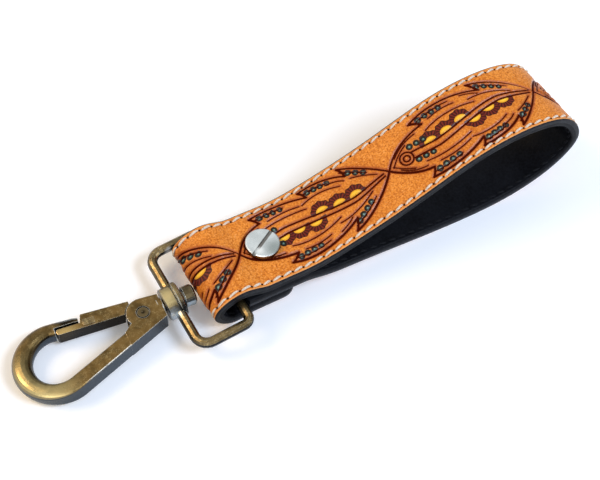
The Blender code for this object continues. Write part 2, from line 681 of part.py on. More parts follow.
def nose_step_mesh():
    """Cuts the inner half of the nose away, where the gate's lip lies."""
    near = -(NOSE_END_FROM_RIVET - CUT_OVERRUN)
    far = -NOSE_STEP_FROM_RIVET
    low = -CUT_OVERRUN
    points = [(near, low), (near, nose_under_height(near)), (far, nose_under_height(far)), (far, low)]
    return outline_mesh(points, HOOK_THICKNESS + 2 * CUT_OVERRUN)


def gate_outline():
    """The gate seen from above, about the rivet: outer face in line with the nose, lip under it, neck at the cheeks."""
    centre = bow_centre()
    outer_angle = math.pi / 2 - NOSE_ANGLE
    outer = (centre[0] + BOW_OUTER_RADIUS * math.cos(outer_angle), centre[1] + BOW_OUTER_RADIUS * math.sin(outer_angle))
    clear = CHEEK_RADIUS + RUN_GAP
    shoulder = math.hypot(NOSE_END_FROM_RIVET, nose_under_height(-NOSE_END_FROM_RIVET)) - GATE_SHOULDER_GAP
    tip = -(NOSE_STEP_FROM_RIVET - GATE_SHOULDER_GAP)
    inner = gate_line(0.0)
    lip = gate_line(GATE_LIP_THICKNESS)
    low_angle = arc_crossing(inner, -GATE_INNER_ANGLE, clear)
    heel = clear * math.cos(GATE_HEEL_ANGLE)
    points = arc_points((0.0, 0.0), clear, low_angle, GATE_HEEL_ANGLE, 8)
    points += [(heel, line_across(outer, -NOSE_ANGLE, heel))]
    for line in ((outer, -NOSE_ANGLE), (lip, -GATE_INNER_ANGLE)):
        angle = arc_crossing(*line, shoulder)
        points.append((shoulder * math.cos(angle), shoulder * math.sin(angle)))
    lip_top = line_across(lip, -GATE_INNER_ANGLE, tip)
    lip_base = line_across(inner, -GATE_INNER_ANGLE, tip)
    round_x = tip + GATE_LIP_ROUND
    points += arc_points((round_x, lip_top - GATE_LIP_ROUND), GATE_LIP_ROUND, math.radians(90.0), math.radians(180.0), 3)
    points += arc_points((round_x, lip_base + GATE_LIP_ROUND), GATE_LIP_ROUND, math.radians(180.0), math.radians(270.0), 3)
    return points


def arc_crossing(point, angle, radius):
    """The angle about the origin where a line meets a circle on the tip's side."""
    direction = (-math.cos(angle), -math.sin(angle))
    along = point[0] * direction[0] + point[1] * direction[1]
    gap = point[0] ** 2 + point[1] ** 2 - radius**2
    reach = -along + math.sqrt(along**2 - gap)
    x, y = point[0] + reach * direction[0], point[1] + reach * direction[1]
    return math.atan2(y, x) % (2 * math.pi)


def ear_outline():
    """The gate's ear between the cheeks: a disc round the rivet with a neck out to the gate."""
    clear = CHEEK_RADIUS + 2 * RUN_GAP
    low, high = math.radians(150.0), math.radians(110.0)
    neck = [(clear * math.cos(low), clear * math.sin(low)), (clear * math.cos(high), clear * math.sin(high))]
    return neck + arc_points((0.0, 0.0), EAR_RADIUS, high, low - 2 * math.pi, 24)


def make_gate(gate_axis, parts, cutters):
    """The gate: a thick blade with a lip, and a thin bored ear on its underside for the rivet."""
    gate = link_object("gate", outline_mesh(gate_outline(), GATE_THICKNESS), parts, gate_axis)
    round_edges(gate, GATE_EDGE_ROUND, 2, math.radians(50.0))
    combine(gate, outline_mesh(ear_outline(), EAR_THICKNESS, -EAR_CENTRE_HEIGHT), "UNION", "gate_ear", cutters)
    hole = RIVET_RADIUS + RUN_GAP
    drill = [(0.0, HOOK_THICKNESS), (hole, HOOK_THICKNESS), (hole, -HOOK_THICKNESS), (0.0, -HOOK_THICKNESS)]
    combine(gate, turned_mesh(drill, STUD_SIDES), "DIFFERENCE", "gate_rivet_hole", cutters)
    gate.data.materials.append(make_material("gate", ANTIQUE_BRASS))
    smooth_round(gate)


def make_gate_rivet(swivel_axis, parts):
    """The rivet: a shank through cheeks and ear, with a head sunk in each cheek and a dimple in each head."""
    face = HOOK_THICKNESS / 2
    under = face - RIVET_HEAD_DEPTH
    upper = [(0.0, face - RIVET_DIMPLE_DEPTH), (RIVET_DIMPLE_RADIUS, face), (RIVET_HEAD_RADIUS, face),
             (RIVET_HEAD_RADIUS, under), (RIVET_RADIUS, under)]
    lower = [(radius, -height) for radius, height in reversed(upper)]
    rivet = link_object("gate_rivet", turned_mesh(upper + lower, STUD_SIDES), parts, swivel_axis)
    rivet.location = rivet_place()
    rivet.data.materials.append(make_material("gate_rivet", DARK_BRASS))
    smooth_round(rivet)


def make_gate_spring(swivel_axis, parts):
    """A torsion spring round the rivet above the ear, one leg out to the gate's end and one to the heel's side."""
    base = RUN_GAP + SPRING_WIRE_RADIUS
    count = SPRING_TURNS * SPRING_POINTS_PER_TURN
    coil = []
    for n in range(count + 1):
        angle = SPRING_START + 2 * math.pi * n / SPRING_POINTS_PER_TURN
        height = base + SPRING_PITCH * n / SPRING_POINTS_PER_TURN
        coil.append(Vector((SPRING_MEAN_RADIUS * math.cos(angle), SPRING_MEAN_RADIUS * math.sin(angle), height)))
    heading = Vector((-math.sin(SPRING_START), math.cos(SPRING_START), 0.0))
    route = [coil[0] - heading * SPRING_GATE_LEG] + coil + [coil[-1] + heading * SPRING_HEEL_LEG]
    spring = link_object("gate_spring", wire_mesh(route, SPRING_WIRE_RADIUS, 1, False), parts, swivel_axis)
    spring.location = rivet_place()
    spring.data.materials.append(make_material("gate_spring", SPRING_STEEL))
    smooth_round(spring)


def build():
    clear_objects()
    parts = new_collection("leather_keychain")
    cutters = new_collection("cutters")
    make_strap(parts, cutters)
    make_screw_post(parts)
    make_strap_screw(parts, cutters)
    hub = Matrix.Translation((-HUB_BEHIND_SCREW, HUB_SIDE_SHIFT, HUB_RISE))
    ring_frame = hub @ turned_frame(HOOK_YAW + PLAY_YAW, HOOK_PITCH + PLAY_PITCH)
    hook_frame = hub @ turned_frame(HOOK_YAW, HOOK_PITCH)
    crossbar = ring_frame @ Matrix.Translation((HUB_PLACE, 0.0, 0.0))
    ring_axis = add_axis("ring_axis", crossbar, None, parts)
    swivel_axis = add_axis("swivel_axis", crossbar.inverted() @ hook_frame, ring_axis, parts)
    gate_axis = add_axis("gate_axis", Matrix.Translation(rivet_place()), swivel_axis, parts)
    make_swivel_ring(ring_axis, parts, cutters)
    make_swivel_stud(swivel_axis, parts)
    make_hook_body(swivel_axis, parts, cutters)
    make_gate(gate_axis, parts, cutters)
    make_gate_rivet(swivel_axis, parts)
    make_gate_spring(swivel_axis, parts)


build()
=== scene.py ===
"""Leather keychain: the tooled strap, its stitching and the snap hook's finishes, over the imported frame.

Laid out as an add-on and run as a script. Metres, +Z up, origin on the table under the strap screw, +X from
the snap hook to the strap's loop, +Y across the strap. The tooling is drawn in millimetres on the flat strap.
"""
import json
import math

import bmesh
import bpy
import numpy as np
from bpy.props import FloatProperty, FloatVectorProperty, PointerProperty
from mathutils import Matrix, Vector


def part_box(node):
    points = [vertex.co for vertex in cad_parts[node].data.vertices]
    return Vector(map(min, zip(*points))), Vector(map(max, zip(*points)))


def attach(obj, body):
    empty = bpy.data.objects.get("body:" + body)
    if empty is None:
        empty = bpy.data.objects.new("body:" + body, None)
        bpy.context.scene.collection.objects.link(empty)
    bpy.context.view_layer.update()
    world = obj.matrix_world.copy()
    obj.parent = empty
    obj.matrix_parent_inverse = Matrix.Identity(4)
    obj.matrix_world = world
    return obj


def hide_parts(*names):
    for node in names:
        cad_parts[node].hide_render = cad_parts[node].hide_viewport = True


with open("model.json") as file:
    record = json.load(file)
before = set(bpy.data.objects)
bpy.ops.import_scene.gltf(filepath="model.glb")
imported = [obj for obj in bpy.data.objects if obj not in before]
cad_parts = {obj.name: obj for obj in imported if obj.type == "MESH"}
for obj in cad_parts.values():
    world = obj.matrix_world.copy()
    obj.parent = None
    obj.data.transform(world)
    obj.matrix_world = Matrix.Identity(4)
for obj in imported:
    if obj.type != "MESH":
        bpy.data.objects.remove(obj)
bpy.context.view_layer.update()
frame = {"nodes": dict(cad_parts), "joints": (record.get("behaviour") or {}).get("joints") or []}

bl_info = {
    "name": "Tooled leather keychain",
    "version": (1, 0, 0),
    "blender": (4, 5, 0),
    "location": "3D View > Sidebar > Keychain",
    "description": "Builds a tooled leather key fob on a swivel snap hook, its finishes and a plain studio",
    "category": "Add Mesh",
}

MM = 0.001
# Two places closer than this, in metres, count as one
SAME_PLACE = 1e-7

# The strap and its route in metres, as the plies' solids have them
STRAP_WIDTH = 0.025
STRAP_THICKNESS = 0.0029
HALF_STRAP = STRAP_THICKNESS / 2
GLUE_LINE = 0.00002
# Leather and thread that rest on the table stay this far over it
TABLE_GAP = 0.00003
RETURN_LEVEL = 0.00295
LOWER_LEVEL = 0.00615
TOP_LEVEL = 0.00935
RETURN_LENGTH = 0.0054
RETURN_CORNER = 0.0050
FOLD_STRAIGHT_BEHIND_SCREW = 0.0085
FOLD_TOP_BEHIND_SCREW = 0.0042
FOLD_REACH = 0.0212
FOLD_TOP_HEIGHT = 0.0128
FOLD_FLOOR_HEIGHT = 0.0004
FOLD_TOP_INSET = 0.0080
FOLD_FLOOR_INSET = 0.0062
LOWER_END_INSET = 0.0105
STACK_HALF_FLAT = 0.0060
LOOP_REACH = 0.0999
LOOP_HEIGHT = 0.0318
ROUTE_SAMPLES = 600
# Points of the loop, as shares of its reach and its height
LOOP_ROUTE_SHARES = (
    (0.224, 0.385), (0.356, 0.540), (0.483, 0.725), (0.610, 0.905), (0.737, 0.997), (0.849, 0.984),
    (0.925, 0.895), (0.979, 0.715), (1.000, 0.524), (0.970, 0.327), (0.900, 0.157), (0.788, 0.036),
    (0.630, 0.000), (0.422, 0.036), (0.244, 0.080), (0.142, 0.112),
)


def smooth_run(points, start_heading, end_heading, samples):
    """A clamped cubic spline through (x, z) points, evenly sampled along its length."""
    knots = np.array(points)
    steps = np.hypot(*np.diff(knots, axis=0).T)
    place = np.concatenate([[0.0], np.cumsum(steps)])
    count = len(knots)
    system = np.zeros((count, count))
    right = np.zeros((count, 2))
    system[0, 0] = system[-1, -1] = 1.0
    right[0] = start_heading
    right[-1] = end_heading
    for n in range(1, count - 1):
        before, after = steps[n - 1], steps[n]
        run_before, run_after = knots[n] - knots[n - 1], knots[n + 1] - knots[n]
        system[n, n - 1 : n + 2] = after, 2 * (before + after), before
        right[n] = 3 * (after * run_before / before + before * run_after / after)
    slopes = np.linalg.solve(system, right)
    run = []
    for spot in np.linspace(0.0, place[-1], samples + 1):
        n = min(int(np.searchsorted(place, spot, side="right")) - 1, count - 2)
        span = steps[n]
        t = (spot - place[n]) / span
        run.append((2 * t**3 - 3 * t**2 + 1) * knots[n] + (t**3 - 2 * t**2 + t) * span * slopes[n]
                   + (3 * t**2 - 2 * t**3) * knots[n + 1] + (t**3 - t**2) * span * slopes[n + 1])
    return [tuple(point) for point in run]


def strap_route():
    """The strap's middle line: its points, its length up to each of them, and its heading there."""
    floor_place = (FOLD_FLOOR_INSET - FOLD_REACH, FOLD_FLOOR_HEIGHT + HALF_STRAP)
    top_place = (FOLD_TOP_INSET - FOLD_REACH, FOLD_TOP_HEIGHT - HALF_STRAP)
    side_place = (-(FOLD_REACH - HALF_STRAP), (floor_place[1] + top_place[1]) / 2)
    fold = smooth_run(
        [(-FOLD_STRAIGHT_BEHIND_SCREW, RETURN_LEVEL), floor_place, side_place, top_place,
         (-FOLD_TOP_BEHIND_SCREW, TOP_LEVEL)],
        (-1.0, 0.0), (1.0, 0.0), ROUTE_SAMPLES,
    )
    reach = LOOP_REACH - HALF_STRAP
    height = LOOP_HEIGHT - STRAP_THICKNESS
    loop = smooth_run(
        [(STACK_HALF_FLAT, TOP_LEVEL)]
        + [(across * reach, HALF_STRAP + up * height) for across, up in LOOP_ROUTE_SHARES]
        + [(STACK_HALF_FLAT, LOWER_LEVEL)],
        (1.0, 0.0), (-1.0, 0.0), 4 * ROUTE_SAMPLES,
    )
    lower_end = (LOWER_END_INSET - FOLD_REACH, LOWER_LEVEL)
    route = np.array([(RETURN_LENGTH, RETURN_LEVEL), *fold, *loop, lower_end])
    runs = np.diff(route, axis=0)
    lengths = np.hypot(*runs.T)
    run_headings = runs / lengths[:, None]
    headings = np.vstack([run_headings[:1], run_headings[1:] + run_headings[:-1], run_headings[-1:]])
    headings /= np.hypot(*headings.T)[:, None]
    return route, np.concatenate([[0.0], np.cumsum(lengths)]), headings


ROUTE, ROUTE_PLACE, ROUTE_HEADING = strap_route()
STRAP_LENGTH = float(ROUTE_PLACE[-1])


def bend_along_route(flat):
    """Flat strap coordinates (along, across, height over the middle) to the folded strap's place."""
    along, across, height = flat.T
    x, z = (np.interp(along, ROUTE_PLACE, values) for values in ROUTE.T)
    heading_x, heading_z = (np.interp(along, ROUTE_PLACE, values) for values in ROUTE_HEADING.T)
    size = np.hypot(heading_x, heading_z)
    return np.stack([x - heading_z / size * height, across, z + heading_x / size * height], axis=1)


# Colours, nodes and finishes

# A Mix node's inputs and its colour output go by number, because several share a name
MIX_FACTOR, MIX_A, MIX_B, MIX_COLOUR_A, MIX_COLOUR_B = 0, 2, 3, 6, 7
MIX_COLOUR = 2


def linear(code):
    """An sRGB hex colour as linear values."""
    values = [int(code[n : n + 2], 16) / 255 for n in (1, 3, 5)]
    return tuple(v / 12.92 if v <= 0.04045 else ((v + 0.055) / 1.055) ** 2.4 for v in values) + (1.0,)


def scaled(colour, share):
    """A colour made darker or lighter."""
    return tuple(share * value for value in colour[:3]) + (1.0,)


def fill_inputs(tree, node, inputs):
    """Gives a node's inputs, by name or in order, a link from a socket or a plain value."""
    for name, value in inputs.items() if isinstance(inputs, dict) else enumerate(inputs):
        if isinstance(value, bpy.types.NodeSocket):
            tree.links.new(value, node.inputs[name])
        else:
            node.inputs[name].default_value = value


def add_node(tree, kind, inputs=(), output=0, **settings):
    """Adds a node with its settings, inputs and links, and returns one of its outputs."""
    node = tree.nodes.new(kind)
    for name, value in settings.items():
        setattr(node, name, value)
    fill_inputs(tree, node, inputs)
    return node.outputs[output] if node.outputs else node


class Finish:
    """A material in the making: its nodes, and its colour as one layer goes over the other.

    A range is a field, where it starts, where it ends, and what it is worth there if that isn't 0 and 1.
    """

    # Shares of a patch's radius: where it is whole, where it is gone, and how much its border wavers
    PATCH_WHOLE_SHARE = 0.45
    PATCH_GONE_SHARE = 1.35
    PATCH_RAGGED_SHARE = 0.4

    def __init__(self, name, colour, values):
        self.material = bpy.data.materials.new(name)
        self.material.use_nodes = True
        self.tree = self.material.node_tree
        self.tree.nodes.clear()
        self.colour = colour
        self.shader = self.add("ShaderNodeBsdfPrincipled", values).node
        self.surface = self.add("ShaderNodeOutputMaterial", {"Surface": self.shader.outputs["BSDF"]})
        self.place = self.add("ShaderNodeTexCoord", output="Object")

    def add(self, kind, inputs=(), output=0, **settings):
        """A node of this finish, given by its output."""
        return add_node(self.tree, kind, inputs, output, **settings)

    def pattern(self, kind, size, **inputs):
        """A texture whose features are about a size in metres across."""
        return self.add(kind, {"Vector": self.place, "Scale": 1 / size, **inputs})

    def spread(self, *ranges):
        """The product of smooth steps over some ranges."""
        steps = [self.add("ShaderNodeMapRange", one, interpolation_type="SMOOTHSTEP") for one in ranges]
        product = steps[0]
        for step in steps[1:]:
            product = self.add("ShaderNodeMath", (product, step), operation="MULTIPLY")
        return product

    def laid(self, under, over, *ranges):
        """One colour over another, by the product of some ranges."""
        under, over = (linear(colour) if isinstance(colour, str) else colour for colour in (under, over))
        inputs = {MIX_FACTOR: self.spread(*ranges), MIX_COLOUR_A: under, MIX_COLOUR_B: over}
        return self.add("ShaderNodeMix", inputs, MIX_COLOUR, data_type="RGBA")

    def lay(self, over, *ranges):
        """Lays a colour over what is there."""
        self.colour = self.laid(self.colour, over, *ranges)

    def patch(self, border, patches):
        """Changes the colour round some places, with ragged borders."""
        for centre, radius, colour, share in patches:
            whole, gone = self.PATCH_WHOLE_SHARE * radius, self.PATCH_GONE_SHARE * radius
            away = self.add("ShaderNodeVectorMath", (self.place, centre), "Value", operation="DISTANCE")
            ragged = self.add("ShaderNodeMath", (border, self.PATCH_RAGGED_SHARE * radius, away),
                              operation="MULTIPLY_ADD")
            self.lay(colour, (ragged, gone, whole, 0, share))

    def done(self, values, *reliefs):
        """Hands the material over with its colour, other values and reliefs: field, depth, strength."""
        normal = {}
        for field, depth, strength in reliefs:
            bump = {"Height": field, "Distance": depth, "Strength": strength, **normal}
            normal = {"Normal": self.add("ShaderNodeBump", bump)}
        fill_inputs(self.tree, self.shader, {"Base Color": self.colour, **values, **normal})
        return self.material


# Settings

def length(name, description, default, low, high):
    """A length that a user may change, in metres."""
    return FloatProperty(name=name, description=description, default=default, min=low, max=high,
                         unit="LENGTH", subtype="DISTANCE", precision=5)


def dye(name, description, code):
    """A colour that a user may change."""
    return FloatVectorProperty(name=name, description=description, default=linear(code), size=4, min=0.0,
                               max=1.0, subtype="COLOR")


class KeychainStrapSettings(bpy.types.PropertyGroup):
    """Sizes and colours of the leather and its thread"""
    outer_ply: length("Tooled ply", "Thickness of the tan ply", 1.45 * MM, 0.8 * MM, 2.5 * MM)
    stitch_pitch: length("Stitch pitch", "From one awl hole to the next", 3.31 * MM, 2 * MM, 6 * MM)
    stitch_inset: length("Stitch inset", "From the edge to the stitch line", 1.35 * MM, 1 * MM, 4 * MM)
    thread: length("Thread", "Thickness of the waxed thread", 0.72 * MM, 0.3 * MM, 1.2 * MM)
    carve_depth: length("Carving depth", "Depth of the swivel knife's cuts", 0.42 * MM, 0.1 * MM, 0.6 * MM)
    tan: dye("Tan dye", "The grain side's dye", "#E69038")
    cut_brown: dye("Antique paste", "The paste that stays in the cuts", "#420D02")
    maroon: dye("Maroon dye", "The fans along the quill", "#6E2519")
    yellow: dye("Yellow dye", "The half suns along the quill", "#F6C53C")
    teal: dye("Teal dye", "The beads", "#7C9F92")
    edge_black: dye("Edge paint", "The painted edges, and the lining's thread", "#121317")
    lining_black: dye("Lining", "The lining's dye", "#08080B")
    thread_cream: dye("Thread colour", "The top thread", "#F3E3CE")


class KeychainHookSettings(bpy.types.PropertyGroup):
    """Sizes and colours of the metal pieces"""
    brass: dye("Brass", "Rubbed brass on the high places", "#DCC48C")
    patina: dye("Patina", "Antiqued brass in the recesses", "#6E5630")
    nickel: dye("Nickel", "The strap screw's plating", "#DDE2E0")
    pad_length: length("Thumb pad length", "The raised pad on the gate", 3.2 * MM, 2 * MM, 9 * MM)
    pad_height: length("Thumb pad height", "How far the pad stands up", 0.16 * MM, 0.1 * MM, 1 * MM)


class KeychainStageSettings(bpy.types.PropertyGroup):
    """The camera's lens, the light and the floor"""
    lens: FloatProperty(name="Lens", description="The camera's focal length in millimetres", default=66.9,
                        min=20.0, max=200.0)
    lamp_power: FloatProperty(name="Soft box power", description="Watts, times each soft box's own factor",
                              default=2.2, min=0.0, max=50.0, unit="POWER")
    room: FloatProperty(name="Room light", description="Strength of the even light on matt surfaces",
                        default=0.42, min=0.0, max=2.0, subtype="FACTOR")
    floor: dye("Floor", "The plain pale floor", "#F2F4F6")


# Feather tooling, drawn flat in millimetres

FEATHER_PITCH = 49.6
FEATHER_START = 42.4
FEATHERS = range(-1, 5)
# Marks are measured this far round a feather, and count as this far off everywhere else
TOOLING_REACH = 3.0
CUT_HALF_WIDTH = 0.29
FINE_HALF_WIDTH = 0.17

# The quill is a slow S that sets in behind the root, fades out towards the tip and tapers
QUILL_HALF_WIDTH = 1.05
QUILL_TIP_HALF_WIDTH = 0.10
QUILL_TAPER = 0.35
QUILL_SWAY = 1.50
QUILL_SWAY_START_SHARE = 0.12
QUILL_SHIFT_SHARE = 0.05
QUILL_EASE_IN = 5
QUILL_EASE_OUT = 4
QUILL_END_SHARE = 0.965
QUILL_CUT_SHARE = 0.85
QUILL_POINTS = 60

# The barbs of each vane: Bezier curves (start, two handles, end) from the feather's root at 0 to its tip
UPPER_BARBS = (
    ((0.0, 0.0), (3.0, 3.4), (7.6, 6.1), (15.4, 6.4)),
    ((15.4, 6.4), (14.6, 7.2), (13.6, 8.1), (12.2, 8.6)),
    ((12.2, 8.6), (18.0, 10.4), (27.0, 10.0), (34.6, 6.5)),
    ((34.6, 6.5), (34.2, 7.6), (33.4, 8.9), (32.4, 9.9)),
    ((32.4, 9.9), (37.8, 9.0), (45.0, 4.6), (49.6, 0.0)),
)
LOWER_BARBS = (
    ((0.0, 0.0), (2.6, -3.2), (6.2, -6.2), (10.6, -7.0)),
    ((10.6, -7.0), (10.2, -7.8), (9.5, -8.8), (8.6, -9.5)),
    ((8.6, -9.5), (14.0, -10.6), (20.6, -10.3), (26.4, -7.6)),
    ((26.4, -7.6), (26.3, -8.5), (25.7, -9.5), (24.9, -10.2)),
    ((24.9, -10.2), (30.0, -10.6), (35.4, -9.4), (38.8, -6.7)),
    ((38.8, -6.7), (39.0, -7.9), (38.6, -9.2), (37.9, -10.1)),
    ((37.9, -10.1), (41.6, -8.3), (46.4, -4.0), (49.6, 0.0)),
)
# Veins cut with the knife's tip, as Bezier curves
VEINS = (
    ((15.0, 3.9), (19.0, 5.2), (25.0, 5.4), (31.0, 3.6)),
    ((17.6, 6.6), (20.4, 7.1), (23.0, 7.2), (26.0, 6.6)),
    ((30.0, 5.2), (34.0, 5.4), (38.0, 4.4), (42.5, 2.2)),
    ((28.8, 7.6), (31.0, 7.0), (32.4, 6.4), (33.6, 5.6)),
    ((3.2, 2.2), (5.6, 4.0), (8.4, 5.0), (12.0, 5.1)),
    ((10.0, -4.3), (14.0, -5.6), (19.0, -5.8), (24.5, -4.4)),
    ((13.0, -6.6), (16.6, -7.3), (20.0, -7.1), (23.2, -6.2)),
    ((24.0, -6.0), (28.0, -7.2), (32.0, -6.8), (36.0, -4.8)),
    ((33.0, -7.6), (35.0, -7.2), (36.6, -6.6), (37.8, -5.6)),
    ((2.8, -1.9), (4.6, -3.9), (6.8, -5.2), (9.4, -5.6)),
    ((39.6, -5.2), (42.0, -4.4), (44.4, -2.9), (46.4, -1.4)),
)
BEZIER_POINTS = 16
# An inner line follows each long barb at this distance, over these shares of its length
INNER_LINE_GAP = 1.25
INNER_LINE_SHARES = (0.10, 0.62)
LONG_BARB = 6.0

# Rows of beads: start (along, across), step (along, across), count
BEAD_ROWS = (
    ((15.2, 8.0), (2.2, -0.05), 4), ((34.6, 7.8), (1.9, -1.0), 4), ((8.6, 2.5), (2.2, -0.25), 3),
    ((8.6, -2.4), (2.2, -0.35), 3), ((11.4, -8.5), (2.2, 0.05), 4), ((27.4, -8.7), (2.0, 0.25), 4),
    ((40.0, -7.0), (1.8, 1.25), 3),
)
BEAD_RADIUS = 0.52
BEAD_SHRINK = 0.93
BEAD_RING = 0.54
EYE_PLACE = 6.0
EYE_RADII = (0.95, 2.0)
EYE_CUT_SHARE = 0.8

# Fans on the quill's edge: place along it and side, with a half sun in each
FAN_PLACES = ((14.2, 1), (19.4, 1), (24.6, 1), (27.8, -1), (33.0, -1), (38.2, -1))
FAN_OFF_QUILL = 0.30
FAN_RADIUS = 3.15
FAN_SCALLOPS = 9
SCALLOP_DEPTH = 0.16
FAN_BASE = 0.25
SUN_WIDE = 1.95
SUN_HIGH = 1.45
SUN_BASE = 0.10


def bezier(points):
    """A Bezier curve's points in the plane."""
    start, first, second, end = (np.array(point, dtype=float) for point in points)
    t = np.linspace(0.0, 1.0, BEZIER_POINTS)[:, None]
    return (1 - t) ** 3 * start + 3 * (1 - t) ** 2 * t * first + 3 * (1 - t) * t**2 * second + t**3 * end


def quill_height(along):
    """How far the quill's line sways from the strap's middle."""
    share = along / FEATHER_PITCH
    ease = (np.clip(QUILL_EASE_IN * (share - QUILL_SWAY_START_SHARE), 0, 1)
            * np.clip(QUILL_EASE_OUT * (1 - share), 0, 1))
    return -QUILL_SWAY * np.sin(2 * math.pi * (share - QUILL_SHIFT_SHARE)) * ease


def quill_width(along):
    """Half the quill's width, which tapers to the tip."""
    return QUILL_HALF_WIDTH * np.clip(1 - along / FEATHER_PITCH, 0, 1) ** QUILL_TAPER + QUILL_TIP_HALF_WIDTH


def inner_line(curve, side):
    """A line that follows a barb at a distance on its inner side."""
    headings = np.gradient(curve, axis=0)
    headings /= np.hypot(*headings.T)[:, None]
    normals = np.stack([headings[:, 1], -headings[:, 0]], axis=1) * side
    first, last = (int(share * BEZIER_POINTS) for share in INNER_LINE_SHARES)
    return (curve + INNER_LINE_GAP * normals)[first : last + 1]


def feather_lines():
    """The cuts of one feather, as (points, half width), from its root."""
    lines = []
    for barbs, side in ((UPPER_BARBS, 1), (LOWER_BARBS, -1)):
        for barb in barbs:
            curve = bezier(barb)
            lines.append((curve, CUT_HALF_WIDTH))
            if abs(barb[3][0] - barb[0][0]) > LONG_BARB:
                lines.append((inner_line(curve, side), FINE_HALF_WIDTH))
    along = np.linspace(EYE_PLACE + EYE_RADII[1], QUILL_END_SHARE * FEATHER_PITCH, QUILL_POINTS)
    for side in (-1, 1):
        lines.append((np.stack([along, quill_height(along) + side * quill_width(along)], axis=1),
                      QUILL_CUT_SHARE * CUT_HALF_WIDTH))
    lines += [(bezier(vein), FINE_HALF_WIDTH) for vein in VEINS]
    return lines


def feather_outline():
    """The feather's outline as one closed run."""
    upper = np.vstack([bezier(barb) for barb in UPPER_BARBS])
    lower = np.vstack([bezier(barb) for barb in LOWER_BARBS])
    outline = np.vstack([upper, lower[::-1]])
    return np.vstack([outline, outline[:1]])


def feather_beads():
    """The beads of one feather: (along, across, radius)."""
    return [(x + n * step_x, y + n * step_y, BEAD_RADIUS * BEAD_SHRINK**n)
            for (x, y), (step_x, step_y), count in BEAD_ROWS for n in range(count)]


def feather_fans():
    """The fans of one feather: (along, across, side) of their middles off the quill's edge."""
    return [(x, float(quill_height(x)) + side * (float(quill_width(x)) + FAN_OFF_QUILL), side)
            for x, side in FAN_PLACES]


def distance_to_line(points, line):
    """How far each point is from a run of straight pieces."""
    best = np.full(len(points), np.inf)
    for start, end in zip(line[:-1], line[1:]):
        run = end - start
        span = run @ run
        if span == 0:
            continue
        t = np.clip(((points - start) @ run) / span, 0.0, 1.0)
        gap = points - (start + t[:, None] * run)
        best = np.minimum(best, np.hypot(gap[:, 0], gap[:, 1]))
    return best


def inside_outline(points, outline):
    """Whether each point lies inside a closed outline."""
    within = np.zeros(len(points), dtype=bool)
    x, y = points[:, 0], points[:, 1]
    for (x0, y0), (x1, y1) in zip(outline[:-1], outline[1:]):
        if y0 == y1:
            continue
        crosses = (y0 > y) != (y1 > y)
        within ^= crosses & (x < (x1 - x0) * (y - y0) / (y1 - y0) + x0)
    return within


def tooling_fields(along, across):
    """The tooling on the flat strap: signed distances to cuts and dyed shapes, and the fans' angles."""
    fields = {name: np.full(len(along), TOOLING_REACH) for name in ("cut", "bead", "fan", "sun", "vane")}
    fields["rays"] = np.zeros(len(along))
    lines, outline = feather_lines(), feather_outline()
    for number in FEATHERS:
        root = FEATHER_START + number * FEATHER_PITCH
        first, last = root - TOOLING_REACH, root + FEATHER_PITCH + TOOLING_REACH
        near = np.nonzero((along > first) & (along < last))[0]
        if not len(near):
            continue
        turned_over = -1 if number % 2 == 0 else 1
        points = np.stack([along[near] - root, turned_over * across[near]], axis=1)
        here = {name: values[near] for name, values in fields.items()}
        for line, half in lines:
            here["cut"] = np.minimum(here["cut"], distance_to_line(points, line) - half)
        eye = np.hypot(points[:, 0] - EYE_PLACE, points[:, 1])
        for radius in EYE_RADII:
            ring = np.abs(eye - radius) - EYE_CUT_SHARE * CUT_HALF_WIDTH
            here["cut"] = np.minimum(here["cut"], ring)
        for x, y, radius in feather_beads():
            bead = np.hypot(points[:, 0] - x, points[:, 1] - y) - radius
            here["bead"] = np.minimum(here["bead"], bead)
        for x, y, side in feather_fans():
            dx, dy = points[:, 0] - x, (points[:, 1] - y) * side
            angle = np.arctan2(dy, dx)
            scallop = FAN_RADIUS + SCALLOP_DEPTH * np.cos(FAN_SCALLOPS * angle)
            fan = np.maximum(np.hypot(dx, dy) - scallop, -dy - FAN_BASE)
            here["rays"] = np.where(fan < here["fan"], angle, here["rays"])
            here["fan"] = np.minimum(here["fan"], fan)
            oval = (np.sqrt((dx / SUN_WIDE) ** 2 + (dy / SUN_HIGH) ** 2) - 1.0) * SUN_HIGH
            here["sun"] = np.minimum(here["sun"], np.maximum(oval, -dy - SUN_BASE))
        edge = distance_to_line(points, outline)
        vane = np.where(inside_outline(points, outline), -edge, edge)
        here["vane"] = np.minimum(here["vane"], vane)
        for name, values in here.items():
            fields[name][near] = values
    return fields


# Helpers for pieces

def points_of(mesh):
    """A mesh's points as an array."""
    points = np.empty(len(mesh.vertices) * 3)
    mesh.vertices.foreach_get("co", points)
    return points.reshape(-1, 3)


def set_points(mesh, points):
    """Moves a mesh's points to an array's places."""
    mesh.vertices.foreach_set("co", np.ascontiguousarray(points, dtype=float).ravel())
    mesh.update()


def start_clean():
    """Object mode with nothing selected."""
    if bpy.context.object and bpy.context.object.mode != "OBJECT":
        bpy.ops.object.mode_set(mode="OBJECT")
    bpy.ops.object.select_all(action="DESELECT")


def pick(piece):
    """Makes a piece the one that operators act on."""
    start_clean()
    piece.select_set(True)
    bpy.context.view_layer.objects.active = piece


def edit(piece):
    """Opens a piece in edit mode with nothing of it selected."""
    pick(piece)
    bpy.ops.object.mode_set(mode="EDIT")
    bpy.ops.mesh.select_all(action="DESELECT")


def face_outwards(piece):
    """Turns all of a piece's faces outwards."""
    edit(piece)
    bpy.ops.mesh.select_all(action="SELECT")
    bpy.ops.mesh.normals_make_consistent(inside=False)
    bpy.ops.object.mode_set(mode="OBJECT")


def same(first, second):
    """Whether two places along one axis are the same."""
    return abs(first - second) < SAME_PLACE


